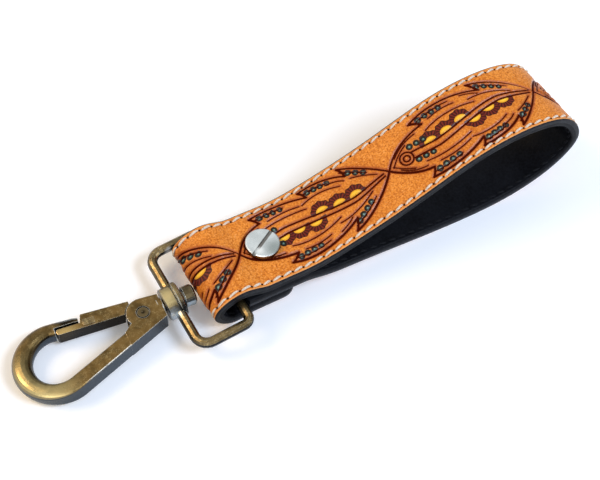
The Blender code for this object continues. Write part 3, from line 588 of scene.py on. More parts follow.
def select_edges(piece, test):
    """Selects the edges of the edited piece whose two ends pass a test."""
    bpy.context.tool_settings.mesh_select_mode = (False, True, False)
    mesh = bmesh.from_edit_mesh(piece.data)
    for edge in mesh.edges:
        edge.select_set(bool(test(edge.verts[0].co, edge.verts[1].co)))
    mesh.select_flush_mode()
    bmesh.update_edit_mesh(piece.data)


# Edges that turn more than this stay crisp, in degrees
LEATHER_CREASE = 50.0
THREAD_CREASE = 60.0
METAL_CREASE = 40.0


def finish_piece(piece, name, material, body, crease):
    """Names a piece, gives it its material, applies its place, shades it and lets it ride on its body."""
    pick(piece)
    piece.name = name
    piece.data.name = name
    bpy.ops.object.transform_apply(location=True, rotation=True, scale=True)
    bpy.ops.object.shade_smooth_by_angle(angle=math.radians(crease), keep_sharp_edges=False)
    piece.data.materials.clear()
    piece.data.materials.append(material)
    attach(piece, body)
    piece.select_set(False)


def join_copies(pieces):
    """Joins a run of copies into their first."""
    pick(pieces[0])
    for piece in pieces:
        piece.select_set(True)
    bpy.ops.object.join()
    return pieces[0]


# The seams start and end at least this many pitches from the strap's two ends
SEAM_START_PITCHES = 2
SEAM_END_PITCHES = 1


def stitch_places(settings):
    """The awl holes along the strap, in metres."""
    pitch = settings.stitch_pitch
    first = SEAM_START_PITCHES * pitch
    count = int((STRAP_LENGTH - first - SEAM_END_PITCHES * pitch) / pitch)
    return first + pitch * np.arange(count + 1)


# The strap's two plies

# The plies' rows in millimetres along the strap: between these two places, where the tooling faces up, the
# steps are fine
FINE_FROM = 17.0
FINE_TO = 152.0
FINE_STEP = 0.25
COARSE_STEP = 0.50
LINING_STEP = 0.70
CORNER_ROWS = 11
STRAP_COLUMNS = 94
LINING_COLUMNS = 36

# The rounding of the plies' long edges, in metres and in degrees
EDGE_ROUND = 0.55 * MM
EDGE_ROUND_TURNS = (0, 30, 60, 90)
# Points less deep than this under the ply's face are tooled
FACE_DEPTH = 0.01 * MM
# Faces deeper than this, and the two ends with their many corners, take the edge paint
PAINT_FROM = 0.10 * MM

# The tooling's depths in millimetres, and the ranges of its fields over which each sets in
VANE_RISE = 0.16
VANE_RANGE = (-1.1, 0.2)
BEVEL_DEPTH = 0.12
BEVEL_START = (-0.05, 0.25)
BEVEL_END = (0.25, 1.6)
CARVE_RANGE = (-0.16, 0.42)
AWL_RADIUS = 0.36
HOLE_DEPTH = 0.32
HOLE_RANGE = (-0.2, 0.30)
SEAM_DEPTH = 0.10
SEAM_RANGE = (0.3, 0.9)
# The same for the stamps: field, range, rise
STAMPS = (
    ("bead", (BEAD_RING - 0.25, BEAD_RING + 0.12), -0.26),
    ("bead", (-0.45, 0.10), 0.30),
    ("fan", (-0.15, 0.15), -0.10),
    ("sun", (-0.5, 0.1), 0.16),
)


def row_places(fine_step, coarse_step):
    """Where the strap's rows lie: on the rounded end's arc, then close together where the tooling shows."""
    length_mm = STRAP_LENGTH / MM
    corner = RETURN_CORNER / MM
    arc = corner * (1 - np.cos(np.linspace(0.0, math.pi / 2, CORNER_ROWS)))
    before = np.linspace(corner, FINE_FROM, int((FINE_FROM - corner) / coarse_step))[1:-1]
    middle = np.arange(FINE_FROM, FINE_TO, fine_step)
    after = np.linspace(FINE_TO, length_mm, int((length_mm - FINE_TO) / coarse_step))
    return np.concatenate([arc, before, middle, after]) * MM


def round_the_return(points):
    """Draws the ply's width in along the rounded corners of the return's end."""
    left = np.clip(RETURN_CORNER - points[:, 0], 0.0, RETURN_CORNER)
    half = STRAP_WIDTH / 2
    width = half - RETURN_CORNER + np.sqrt(RETURN_CORNER**2 - left**2)
    points[:, 1] *= width / half


def runs_along(y, z):
    """A test for the edges that run along the flat strap at one place across it and one height."""
    def test(start, end):
        level = all(same(point.y, y) and same(point.z, z) for point in (start, end))
        return level and not same(start.x, end.x)
    return test


def flat_ply(rows, columns, top, bottom):
    """A flat ply of leather over given rows: a grid, its long edges rounded down, its back closed."""
    start_clean()
    bpy.ops.mesh.primitive_grid_add(x_subdivisions=len(rows) - 1, y_subdivisions=columns, size=1.0,
                                    location=(0.5, 0.0, 0.0))
    ply = bpy.context.object
    bpy.ops.object.transform_apply(location=True, rotation=True, scale=True)
    points = points_of(ply.data)
    number = np.rint(points[:, 0] * (len(rows) - 1)).astype(int)
    half = STRAP_WIDTH / 2
    shoulder = half - EDGE_ROUND
    across = points[:, 1] * 2 * shoulder
    set_points(ply.data, np.stack([rows[number], across, np.full(len(points), top)], axis=1))
    turns = np.radians(EDGE_ROUND_TURNS)
    drops = [(math.sin(turn) * EDGE_ROUND, (math.cos(turn) - 1) * EDGE_ROUND) for turn in turns]
    edit(ply)
    for side in (1, -1):
        for (y0, z0), (y1, z1) in zip(drops, drops[1:] + [(EDGE_ROUND, bottom - top)]):
            select_edges(ply, runs_along(side * (shoulder + y0), top + z0))
            move = (0, side * (y1 - y0), z1 - z0)
            bpy.ops.mesh.extrude_edges_move(TRANSFORM_OT_translate={"value": move})
    select_edges(ply, lambda *ends: any(runs_along(y, bottom)(*ends) for y in (half, -half)))
    bpy.ops.mesh.bridge_edge_loops()
    for cut_end in (rows[0], rows[-1]):
        select_edges(ply, lambda start, end: same(start.x, cut_end) and same(end.x, cut_end))
        bpy.ops.mesh.edge_face_add()
    face_outwards(ply)
    return ply


def paint_edges(ply, paint, drops):
    """Gives the rounded edges, walls, ends and back the edge paint, by how deep under the face they lie."""
    ply.data.materials.append(paint)
    for face, below in zip(ply.data.polygons, drops):
        face.material_index = int(below > PAINT_FROM or len(face.vertices) > 4)


def smooth_step(value, low, high):
    """From 0 at low to 1 at high, without a kink."""
    t = np.clip((value - low) / (high - low), 0.0, 1.0)
    return t * t * (3 - 2 * t)


def tooled_relief(fields, carve):
    """How far the carving, bevelling and stamping move the grain side, in millimetres."""
    outside = smooth_step(fields["vane"], *BEVEL_START) * (1 - smooth_step(fields["vane"], *BEVEL_END))
    relief = VANE_RISE * (1 - smooth_step(fields["vane"], *VANE_RANGE)) - BEVEL_DEPTH * outside
    relief -= carve * (1 - smooth_step(fields["cut"], *CARVE_RANGE))
    for name, reach, rise in STAMPS:
        relief += rise * (1 - smooth_step(fields[name], *reach))
    return relief


class KEYCHAIN_OT_tooled_ply(bpy.types.Operator):
    """Cut the tan ply flat, tool the feathers into its grain side and fold it round the route"""
    bl_idname = "keychain.tooled_ply"
    bl_label = "Tooled ply"

    def execute(self, context):
        settings = context.scene.keychain_strap
        ply = flat_ply(row_places(FINE_STEP, COARSE_STEP), STRAP_COLUMNS, HALF_STRAP,
                       HALF_STRAP - settings.outer_ply)
        mesh = ply.data
        points = points_of(mesh)
        drops = [HALF_STRAP - np.mean([points[v, 2] for v in face.vertices]) for face in mesh.polygons]
        along, across = points[:, 0] / MM, points[:, 1] / MM
        fields = tooling_fields(along, across)
        relief = tooled_relief(fields, settings.carve_depth / MM)
        seam = np.abs(across) - (STRAP_WIDTH / 2 - settings.stitch_inset) / MM
        nearest = np.abs(along[:, None] - stitch_places(settings)[None, :] / MM).min(axis=1)
        fields["hole"] = np.hypot(nearest, seam) - AWL_RADIUS
        fields["edge"] = STRAP_WIDTH / 2 / MM - np.abs(across)
        relief -= HOLE_DEPTH * (1 - smooth_step(fields["hole"], *HOLE_RANGE))
        relief -= SEAM_DEPTH * (1 - smooth_step(np.abs(seam), *SEAM_RANGE))
        points[:, 2] += np.where(points[:, 2] > HALF_STRAP - FACE_DEPTH, relief * MM, 0.0)
        for name, values in fields.items():
            layer = mesh.attributes.new(name, "FLOAT", "POINT")
            layer.data.foreach_set("value", np.ascontiguousarray(values, dtype=np.float32))
        round_the_return(points)
        points = bend_along_route(points)
        points[:, 2] = np.maximum(points[:, 2], TABLE_GAP)
        set_points(mesh, points)
        finish_piece(ply, "tooled_ply", tooled_leather(settings), "strap", LEATHER_CREASE)
        paint_edges(ply, edge_paint(settings), drops)
        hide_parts("strap_outer")
        return {"FINISHED"}


class KEYCHAIN_OT_lining_ply(bpy.types.Operator):
    """Cut the black lining flat, round its edges and fold it inside the tooled ply"""
    bl_idname = "keychain.lining_ply"
    bl_label = "Lining ply"

    def execute(self, context):
        settings = context.scene.keychain_strap
        ply = flat_ply(row_places(LINING_STEP, LINING_STEP), LINING_COLUMNS, HALF_STRAP,
                       settings.outer_ply - HALF_STRAP + GLUE_LINE)
        points = points_of(ply.data)
        points[:, 2] *= -1
        round_the_return(points)
        set_points(ply.data, bend_along_route(points))
        face_outwards(ply)
        finish_piece(ply, "lining_ply", lining_leather(settings), "strap", LEATHER_CREASE)
        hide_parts("strap_lining")
        return {"FINISHED"}


# Stitching

STITCH_SIDES = 8
# A stitch's length as a share of the pitch, and the cuts that let it bend as shares of its length
STITCH_LENGTH_SHARE = 0.83
STITCH_CUT_SHARES = (-0.36, -0.18, 0.0, 0.18, 0.36)
# Its middle is nearly even and its ends turn down sharply, by this power of the way from the middle
STITCH_END_POWER = 3
# Shares of the thread's thickness: what its ends lose, how flat it lies, how far it rises, and the ends' dip
STITCH_TAPER_SHARE = 0.45
STITCH_FLAT_SHARE = 0.8
STITCH_RISE_SHARE = 0.14
STITCH_DIP_SHARE = 0.52
# The stitches slant across their row, in degrees
STITCH_SLANT = 12.0


def one_stitch(settings):
    """One stitch lying along X: a short thread whose ends dip into the awl holes."""
    span = settings.stitch_pitch * STITCH_LENGTH_SHARE
    bpy.ops.mesh.primitive_cylinder_add(vertices=STITCH_SIDES, radius=settings.thread / 2, depth=span,
                                        rotation=(0, math.pi / 2, 0), end_fill_type="NGON")
    stitch = bpy.context.object
    bpy.ops.object.transform_apply(location=True, rotation=True, scale=True)
    edit(stitch)
    for share in STITCH_CUT_SHARES:
        bpy.ops.mesh.select_all(action="SELECT")
        bpy.ops.mesh.bisect(plane_co=(share * span, 0, 0), plane_no=(1, 0, 0))
    start_clean()
    points = points_of(stitch.data)
    ends = np.abs(points[:, 0] / (span / 2)) ** STITCH_END_POWER
    taper = 1 - STITCH_TAPER_SHARE * ends
    points[:, 1] *= taper
    points[:, 2] = (points[:, 2] * STITCH_FLAT_SHARE * taper
                    + settings.thread * (STITCH_RISE_SHARE - STITCH_DIP_SHARE * ends))
    set_points(stitch.data, points)
    return stitch


class KEYCHAIN_OT_stitching(bpy.types.Operator):
    """Sew both edges: cream thread on the tan side, black thread on the lining"""
    bl_idname = "keychain.stitching"
    bl_label = "Stitching"

    def execute(self, context):
        settings = context.scene.keychain_strap
        start_clean()
        pattern = one_stitch(settings)
        x, y, z = points_of(pattern.data).T
        slant = math.radians(STITCH_SLANT)
        slanted_x = x * math.cos(slant) - y * math.sin(slant)
        slanted_y = x * math.sin(slant) + y * math.cos(slant)
        row = STRAP_WIDTH / 2 - settings.stitch_inset
        for face, word, colour, name, slot in (
                (1, "cream", settings.thread_cream, "top_stitches", "tan_leather"),
                (-1, "black", settings.edge_black, "lining_stitches", "black_leather")):
            copies = []
            for side in (1, -1):
                for start in stitch_places(settings)[:-1]:
                    copy = bpy.data.objects.new(name, pattern.data.copy())
                    context.collection.objects.link(copy)
                    flat = np.stack([slanted_x + start + settings.stitch_pitch / 2, slanted_y + side * row,
                                     face * (HALF_STRAP + z)], axis=1)
                    bent = bend_along_route(flat)
                    bent[:, 2] = np.maximum(bent[:, 2], TABLE_GAP)
                    set_points(copy.data, bent)
                    copies.append(copy)
            seam = join_copies(copies)
            face_outwards(seam)
            finish_piece(seam, name, waxed_thread(word, colour), "strap", THREAD_CREASE)
        bpy.data.objects.remove(pattern)
        return {"FINISHED"}


# Leather materials

# The fields that the tooled ply's mesh carries for its dyes: the rays' angle, and distances in millimetres
DYED_FIELDS = ("cut", "bead", "fan", "sun", "vane", "rays", "hole", "edge")
# How far in from the strap's far edge the dark band on its face is whole and gone, in metres
FAR_EDGE_BAND = (0.36 * MM, 0.50 * MM)


def tooled_leather(settings):
    """Vegetable-tanned cowhide, carved and dyed by hand, then antiqued: warm tan whose dye breaks up over a
    pebbled grain, dark paste with a red halo in every cut, and a satin top coat."""
    hide = Finish("vegetable tanned leather, carved and dyed", settings.tan, {})
    cut, bead, fan, sun, vane, angle, hole, edge = (
        hide.add("ShaderNodeAttribute", output="Fac", attribute_name=name) for name in DYED_FIELDS)
    # Pores are about 0.3 mm apart on real hide, and drawn at 0.56 mm to show
    pebble = hide.pattern("ShaderNodeTexVoronoi", 0.56 * MM)
    grain = hide.pattern("ShaderNodeTexNoise", 0.46 * MM, Detail=3.0, Roughness=0.65)
    cloud = hide.pattern("ShaderNodeTexNoise", 8 * MM)
    paste, umber = "#2E0C04", "#9C480C"
    # The dye lies in clouds, and dark and light break up over the grain and in the pores
    hide.lay("#D9822C", (cloud, 0.35, 0.65))
    hide.lay(umber, (grain, 0.53, 0.68, 0, 0.80))
    hide.lay("#F3AC64", (grain, 0.47, 0.30, 0, 0.75))
    hide.lay(umber, (pebble, 0.42, 0.75, 0, 0.45))
    # The feathers and the ground close round them are a shade redder, and a cut has a red halo of paste
    hide.lay("#B85C18", (vane, 2.4, -0.2, 0, 0.14))
    hide.lay("#96380A", (cut, 0.66, 0.0, 0, 0.72))
    # Fans, suns and beads are dyed inside an outline of paste, each darker towards its rays or its rim
    turns = hide.add("ShaderNodeMath", (angle, 2.0 * FAN_SCALLOPS), operation="MULTIPLY")
    rays = hide.add("ShaderNodeMath", (turns,), operation="COSINE")
    hide.lay(paste, (fan, 0.22, 0.06))
    hide.lay(hide.laid("#3A0D06", settings.maroon, (rays, -0.3, 0.5)), (fan, -0.02, -0.14))
    hide.lay(paste, (sun, 0.20, 0.08))
    hide.lay(hide.laid("#DE9620", settings.yellow, (sun, 0.0, -0.7)), (sun, 0.02, -0.08))
    hide.lay("#1C120B", (bead, BEAD_RING + 0.06, BEAD_RING - 0.08))
    hide.lay(hide.laid("#33463E", settings.teal, (bead, -0.06, -0.38)), (bead, 0.05, -0.06))
    # Paste fills the cuts and the awl holes, and the dye is rubbed thin along the strap's edges
    hide.lay(settings.cut_brown, (cut, 0.10, -0.05))
    hide.lay("#1E0C05", (hole, 0.10, -0.10))
    hide.lay("#EDAB68", (edge, 0.85, 0.35, 0, 0.60))
    # On the far side only, a thin band of the face along the edge is darkened to the edge paint's colour
    across = hide.add("ShaderNodeSeparateXYZ", (hide.place,), "Y")
    whole, gone = (STRAP_WIDTH / 2 - inset for inset in FAR_EDGE_BAND)
    hide.lay(settings.edge_black, (across, gone, whole))
    # The beveller burnishes the leather beside a cut, and the paste in it is matt
    burnished = hide.spread((cut, 0.75, 0.15), (cut, -0.05, 0.10))
    satin = hide.add("ShaderNodeMath", (burnished, 0.12, 0.14), operation="MULTIPLY_ADD")
    matt = hide.spread((hide.spread((cut, 0.10, -0.05)), 0.9, 0.1, 0.10, 1.0))
    shine = hide.add("ShaderNodeMath", (satin, matt), operation="MULTIPLY")
    worn = hide.spread((grain, 0.3, 0.7, 0.36, 0.54))
    rough = hide.add("ShaderNodeMath", (burnished, -0.16, worn), operation="MULTIPLY_ADD")
    return hide.done({"Specular IOR Level": shine, "Roughness": rough},
                     (grain, 0.09 * MM, 0.7), (pebble, 0.06 * MM, 0.5))


def edge_paint(settings):
    """Water-based edge paint in two coats over sanded edges: near black, slightly wavy, softly shining."""
    paint = Finish("edge paint, two coats, burnished", settings.edge_black,
                   {"Roughness": 0.45, "Specular IOR Level": 0.14})
    wave = paint.pattern("ShaderNodeTexNoise", 1.1 * MM)
    paint.lay("#1E2026", (wave, 0.35, 0.7))
    return paint.done({}, (wave, 0.08 * MM, 0.5))


def lining_leather(settings):
    """Chrome-tanned calf, drum dyed black and lightly pressed: near black, a soft sheen, a small pebble."""
    calf = Finish("chrome tanned lining leather, drum dyed", settings.lining_black,
                  {"Specular IOR Level": 0.08})
    pebble = calf.pattern("ShaderNodeTexVoronoi", 0.8 * MM)
    cloud = calf.pattern("ShaderNodeTexNoise", 6 * MM)
    calf.lay("#0D0E12", (cloud, 0.3, 0.7))
    calf.lay("#15161A", (pebble, 0.35, 0.65, 0, 0.5))
    return calf.done({"Roughness": calf.spread((cloud, 0.3, 0.7, 0.42, 0.58))}, (pebble, 0.06 * MM, 0.5))


def waxed_thread(word, colour):
    """Braided polyester thread, waxed: strands about 0.22 mm across mottle it, with the wax's soft sheen."""
    thread = Finish(f"waxed thread, {word}, saddle stitched", scaled(colour, 0.55),
                    {"Roughness": 0.6, "Specular IOR Level": 0.1})
    fibre = thread.pattern("ShaderNodeTexNoise", 0.22 * MM, Roughness=0.6)
    thread.lay(colour, (fibre, 0.3, 0.7))
    return thread.done({}, (fibre, 0.08 * MM, 0.6))


# Hardware finishes

# Places where a plating's colour differs, by use, by the paste or as painted light and shade: centre and
# radius in metres, colour, share of it
# Rubbed brass low on the bow's outer side, made paler still as a painted highlight
WORN_AND_HIGHLIT_BOW = ((-0.0705, -0.0095, 0.0040), 0.0120, "#CBB57C", 0.88)
# Painted shade on the bow's far outer side
DARK_BOW = ((-0.0640, 0.0040, 0.0050), 0.0050, "#544529", 0.60)
BLACKENED_NOSE = ((-0.0550, 0.0056, 0.0056), 0.0044, "#14130F", 0.92)
# Painted shade over the inner side of the bow's top
SHADED_BOW = ((-0.0642, -0.0042, 0.0050), 0.0094, "#3A3019", 1.00)
# Rubbed brass on the hub's top, made paler still as a painted highlight
BRIGHT_HUB = ((-0.0300, -0.0016, 0.0085), 0.0036, "#C6B27E", 0.75)
# The collar's dark tone, deepened by painted shade on its near lower side
DARK_COLLAR = ((-0.0248, -0.0034, 0.0060), 0.0048, "#23282E", 0.85)
WORN_LIP = ((-0.0570, 0.0015, 0.0050), 0.0044, "#C2A468", 0.85)
# The same, laid over the edges' wear and glint
# Painted shade in a soft ring round the gate's rivet
RIVET_SHADE = ((-0.0368, -0.0020, 0.0066), 0.0025, "#241C11", 1.00)
RIVET_RIM = ((-0.0368, -0.0020, 0.0066), 0.0045, "#66563A", 0.80)
RIVET_DOT = ((-0.0368, -0.0020, 0.0070), 0.0008, "#1E180F", 0.90)
# Painted highlight: a pale bluish glint low on the hub's near flank
HUB_FLANK_HIGHLIGHT = ((-0.0298, -0.0056, 0.0050), 0.0030, "#D3DCE0", 0.70)
# Painted highlight low on the stud's near flank
STUD_FLANK_HIGHLIGHT = ((-0.0238, -0.0044, 0.0040), 0.0030, "#C2D2DC", 0.90)
# Painted reflection on the ring's far corner by the strap
RING_CORNER_REFLECTION = ((-0.0213, 0.0126, 0.0055), 0.0020, "#C4D2DC", 0.75)
# A painted highlight in one half of the slot, and painted shade on the head's near right side
SLOT_HIGHLIGHT = ((-0.0022, -0.0018, 0.0120), 0.0017, "#F4F6F2", 0.90)
HEAD_SHADE = ((0.0022, -0.0034, 0.0123), 0.0040, "#7C8782", 0.65)

# The rounded bow gives way to the straight shank between these places, along X in metres
STRAIGHT_SHANK = (-0.0590, -0.0550)
# The shank's corners get a painted glint, where faces lie neither level nor upright: 1 is level
CORNER_GLINT_RANGES = ((0.93, 0.82), (0.40, 0.60))
# Edges are worn, and painted with a glint, where a corner of this radius, in metres, turns the normal: 1 is
# not at all
EDGE_WEAR_AND_GLINT_RADIUS = 0.25 * MM
EDGE_WEAR_AND_GLINT_RANGE = (0.97, 0.84, 0, 0.85)

# Grime and painted shade lie in the screw's slot and under its rim: they set in between the first two
# heights, and have ended between the last two
SCREW_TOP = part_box("strap_screw")[1][2]
GRIME_AND_SHADE_TOP = (SCREW_TOP - 0.22 * MM, SCREW_TOP - 0.42 * MM)
GRIME_AND_SHADE_FOOT = (SCREW_TOP - 1.3 * MM, SCREW_TOP - 1.1 * MM)
SCRATCH_STRETCH = (1.0, 9.0, 1.0)
SCRATCH_TURN = (0.0, 0.0, math.radians(35.0))


def antique_brass(name, patina, brass, mottle, patches=(), side="#38424B", gloss=0.24, flank=(0.62, 0.25),
                  last_patches=(), glinting_corners=False):
    """Zinc casting plated in brass and antiqued: soft brown clouds with fine rubbed specks, pale where its
    edges wear under a painted glint, and cool steel grey on the walls: the paste left there, with painted
    shade.

    Mottle is the share of rubbed brass, and flank says how level a face lies where the walls' colour sets in
    and is whole.
    """
    cast = Finish(name, scaled(patina, 0.66), {"Metallic": 1.0})
    cloud = cast.pattern("ShaderNodeTexNoise", 3.2 * MM)
    blotch = cast.pattern("ShaderNodeTexNoise", 1.5 * MM, Detail=3.0, Roughness=0.6)
    speck = cast.pattern("ShaderNodeTexNoise", 0.30 * MM, Roughness=0.6)
    cast.lay(scaled(patina, 1.15), (cloud, 0.32, 0.62))
    cast.lay(brass, (blotch, 0.40, 0.64, 0, mottle), (speck, 0.42, 0.72))
    cast.lay(scaled(patina, 0.5), (speck, 0.42, 0.30, 0, 0.25))
    cast.patch(blotch, patches)
    # 1 on level faces, 0 on upright ones
    normal = cast.add("ShaderNodeTexCoord", output="Normal")
    upward = cast.add("ShaderNodeSeparateXYZ", (normal,), "Z")
    level = cast.add("ShaderNodeMath", (upward,), operation="ABSOLUTE")
    # The walls' colour: the paste left in them, with painted shade where faces turn upright
    cast.lay(side, (level, *flank, 0, 0.95))
    # Painted highlight: a pale glint along the straight shank's rounded corners
    if glinting_corners:
        along = cast.add("ShaderNodeSeparateXYZ", (cast.place,), "X")
        corners = [(level, *limits) for limits in CORNER_GLINT_RANGES]
        cast.lay("#D3D8D6", *corners, (along, *STRAIGHT_SHANK, 0, 0.75))
    # Worn edges, painted paler still as a glint
    rounded = cast.add("ShaderNodeBevel", {"Radius": EDGE_WEAR_AND_GLINT_RADIUS}, samples=6)
    facing = cast.add("ShaderNodeNewGeometry", output="Normal")
    turned = cast.add("ShaderNodeVectorMath", (rounded, facing), "Value", operation="DOT_PRODUCT")
    cast.lay("#EDEFE6", (turned, *EDGE_WEAR_AND_GLINT_RANGE))
    cast.patch(blotch, last_patches)
    return cast.done({"Roughness": cast.spread((cloud, 0.3, 0.7, gloss, gloss + 0.10))},
                     (blotch, 0.03 * MM, 0.35))


def nickel_plate(settings):
    """Brass screw, nickel plated and handled: pale grey with fine turned scratches, grime and painted shade
    in the slot and under the rim, painted shade on one side of the head and a painted highlight in the slot."""
    plate = Finish("nickel plated screw, handled", settings.nickel, {"Metallic": 1.0})
    cloud = plate.pattern("ShaderNodeTexNoise", 3.5 * MM)
    stretched = plate.add("ShaderNodeMapping", {"Vector": plate.place, "Scale": SCRATCH_STRETCH,
                                                "Rotation": SCRATCH_TURN})
    scratch = plate.pattern("ShaderNodeTexNoise", 1.4 * MM, Vector=stretched, Detail=3.0, Roughness=0.6)
    plate.lay(scaled(settings.nickel, 0.82), (cloud, 0.3, 0.7))
    plate.lay("#8E9795", (scratch, 0.60, 0.72, 0, 0.5))
    # Painted shade on the head's near right side
    plate.patch(cloud, (HEAD_SHADE,))
    height = plate.add("ShaderNodeSeparateXYZ", (plate.place,), "Z")
    # Grime and painted shade, darker in the slot and under the rim
    plate.lay("#54483C", (height, *GRIME_AND_SHADE_TOP, 0, 0.80), (height, *GRIME_AND_SHADE_FOOT))
    # Painted highlight in one half of the slot
    plate.patch(cloud, (SLOT_HIGHLIGHT,))
    return plate.done({"Roughness": plate.spread((scratch, 0.35, 0.7, 0.22, 0.36))},
                      (scratch, 0.008 * MM, 0.4))


def spring_wire():
    """Drawn spring steel: grey wire with faint clouds of its drawing grease."""
    wire = Finish("spring steel wire, drawn", linear("#8D9094"), {"Metallic": 1.0, "Roughness": 0.35})
    fine = wire.pattern("ShaderNodeTexNoise", 0.3 * MM)
    inputs = {MIX_FACTOR: fine, MIX_COLOUR_A: wire.colour, MIX_COLOUR_B: linear("#C2C5C8")}
    wire.colour = wire.add("ShaderNodeMix", inputs, MIX_COLOUR, data_type="RGBA")
    return wire.done({})


# The thumb pad on the gate, in metres: it is sunk into the gate and turned as the gate is
PAD_SUNK = 0.3 * MM
PAD_WIDTH = 1.9 * MM
PAD_CORNER = 0.3 * MM
PAD_ROUND = 0.1 * MM
PAD_PLACE = Vector((-0.0501, 0.0028, 0.0060))
PAD_REACH = 4 * MM
PAD_HEADING = Vector((1.0, -0.16, 0.0))
GATE_AXIS = next(joint["axis"] for joint in frame["joints"] if joint["name"] == "gate_pivot")
GATE_UP = Vector(GATE_AXIS).normalized()


class KEYCHAIN_OT_thumb_pad(bpy.types.Operator):
    """Raise the thumb pad on the gate: a small low panel that the thumb pushes"""
    bl_idname = "keychain.thumb_pad"
    bl_label = "Thumb pad"

    def execute(self, context):
        settings = context.scene.keychain_hook
        start_clean()
        height = settings.pad_height + PAD_SUNK
        bpy.ops.mesh.primitive_cube_add(size=1.0)
        pad = bpy.context.object
        pad.scale = (settings.pad_length, PAD_WIDTH, height)
        bpy.ops.object.transform_apply(location=True, rotation=True, scale=True)
        edit(pad)
        select_edges(pad, lambda start, end: not same(start.z, end.z))
        bpy.ops.mesh.bevel(offset=PAD_CORNER, segments=5, affect="EDGES")
        select_edges(pad, lambda start, end: same(start.z, height / 2) and same(end.z, height / 2))
        bpy.ops.mesh.bevel(offset=PAD_ROUND, segments=3, affect="EDGES")
        face_outwards(pad)
        run = (PAD_HEADING - GATE_UP * PAD_HEADING.dot(GATE_UP)).normalized()
        turn = Matrix((run, GATE_UP.cross(run), GATE_UP)).transposed().to_4x4()
        ways = [vertex.co - PAD_PLACE for vertex in frame["nodes"]["gate"].data.vertices]
        top = max(way.dot(GATE_UP) for way in ways if way.length < PAD_REACH)
        middle = PAD_PLACE + GATE_UP * (top + settings.pad_height - height / 2)
        pad.matrix_world = Matrix.Translation(middle) @ turn
        patina = antique_brass("thumb pad, antique brass plated", linear("#7A6746"), settings.brass, 0.7)
        finish_piece(pad, "thumb_pad", patina, "gate", METAL_CREASE)
        return {"FINISHED"}


class KEYCHAIN_OT_metal_finishes(bpy.types.Operator):
    """Give the hook, ring, stud, rivet, spring and screw their plated finishes"""
    bl_idname = "keychain.metal_finishes"
    bl_label = "Metal finishes"

    def execute(self, context):
        settings = context.scene.keychain_hook
        nickel = nickel_plate(settings)
        finishes = {
            "hook_body": antique_brass(
                "cast hook, antique brass plated", settings.patina, settings.brass, 0.30,
                (WORN_AND_HIGHLIT_BOW, SHADED_BOW, DARK_BOW, BLACKENED_NOSE), last_patches=(RIVET_SHADE,),
                glinting_corners=True),
            "gate": antique_brass(
                "cast gate, antique brass plated", settings.patina, settings.brass, 0.35, (WORN_LIP,),
                side="#101317", glinting_corners=True),
            "swivel_ring": antique_brass(
                "cast ring, antique brass plated", linear("#6C5B3C"), settings.brass, 0.45,
                (BRIGHT_HUB, DARK_COLLAR), side="#22272D", gloss=0.25, flank=(0.80, 0.35),
                last_patches=(HUB_FLANK_HIGHLIGHT, RING_CORNER_REFLECTION)),
            "swivel_stud": antique_brass(
                "turned stud, dark antique brass", linear("#5C4F38"), linear("#C2AB7A"), 0.35,
                side="#2A3139", gloss=0.16, flank=(0.80, 0.40), last_patches=(STUD_FLANK_HIGHLIGHT,)),
            "gate_rivet": antique_brass(
                "gate rivet, blackened", linear("#4E432D"), linear("#A98C56"), 0.3, gloss=0.18,
                last_patches=(RIVET_RIM, RIVET_DOT)),
            "gate_spring": spring_wire(),
            "screw_post": nickel,
            "strap_screw": nickel,
        }
        for node, material in finishes.items():
            slots = frame["nodes"][node].data.materials
            slots.clear()
            slots.append(material)
        return {"FINISHED"}


# The stage, in metres

CAMERA_PLACE = Vector((-0.1022, -0.14895, 0.2530))
CAMERA_BACK = Vector((-0.369, -0.4794, 0.7963))
CAMERA_RIGHT = Vector((0.853, -0.515, 0.0852))
SENSOR_WIDTH_MM = 36.0
NEAREST_SEEN = 0.001
FLOOR_SIZE = 6.0
# Soft boxes: name, place, aim, size, times the settings' power, colour
SOFT_BOXES = (
    ("key soft box", (0.34, -0.42, 0.62), (0.02, 0.0, 0.0), (0.40, 0.32), 2.5, "#DAE8FF"),
    ("fill soft box", (-0.55, 0.40, 0.60), (0.0, 0.0, 0.0), (0.50, 0.40), 2.2, "#FFE0B4"),
)
# The room as polished metal sees it: its bright side and its window, and their ranges by the cosine to them
ROOM_BRIGHT_SIDE = (-0.62, 0.25, 0.74)
ROOM_RANGE = (-0.6, 0.9, 0.30, 1.20)
WINDOW_SIDE = (-0.55, -0.66, 0.51)
WINDOW_RANGE = (0.80, 0.99, 0.0, 2.0)
# The floor's own glow to the camera and to metal, from near the keychain to far off
FLOOR_GLOW_RANGE = (0.2, 1.2, 0.17, 0.75)


def camera_matrix():
    """The camera's turn and place, from the way it looks and its right hand."""
    back = CAMERA_BACK.normalized()
    right = (CAMERA_RIGHT - back * CAMERA_RIGHT.dot(back)).normalized()
    turn = Matrix((right, back.cross(right), back)).transposed().to_4x4()
    return Matrix.Translation(CAMERA_PLACE) @ turn


def put_in_scene(context, name, data, place):
    """A new object for a camera or a lamp, at its place."""
    item = bpy.data.objects.new(name, data)
    context.collection.objects.link(item)
    item.matrix_world = place
    return item


def soft_box(context, name, place, aim, size, energy, colour):
    """A rectangular soft box that looks at its aim."""
    lamp = bpy.data.lights.new(name, "AREA")
    lamp.shape = "RECTANGLE"
    lamp.size, lamp.size_y = size
    lamp.energy = energy
    lamp.color = linear(colour)[:3]
    towards = (Vector(aim) - Vector(place)).to_track_quat("-Z", "Y")
    put_in_scene(context, name, lamp, Matrix.Translation(Vector(place)) @ towards.to_matrix().to_4x4())


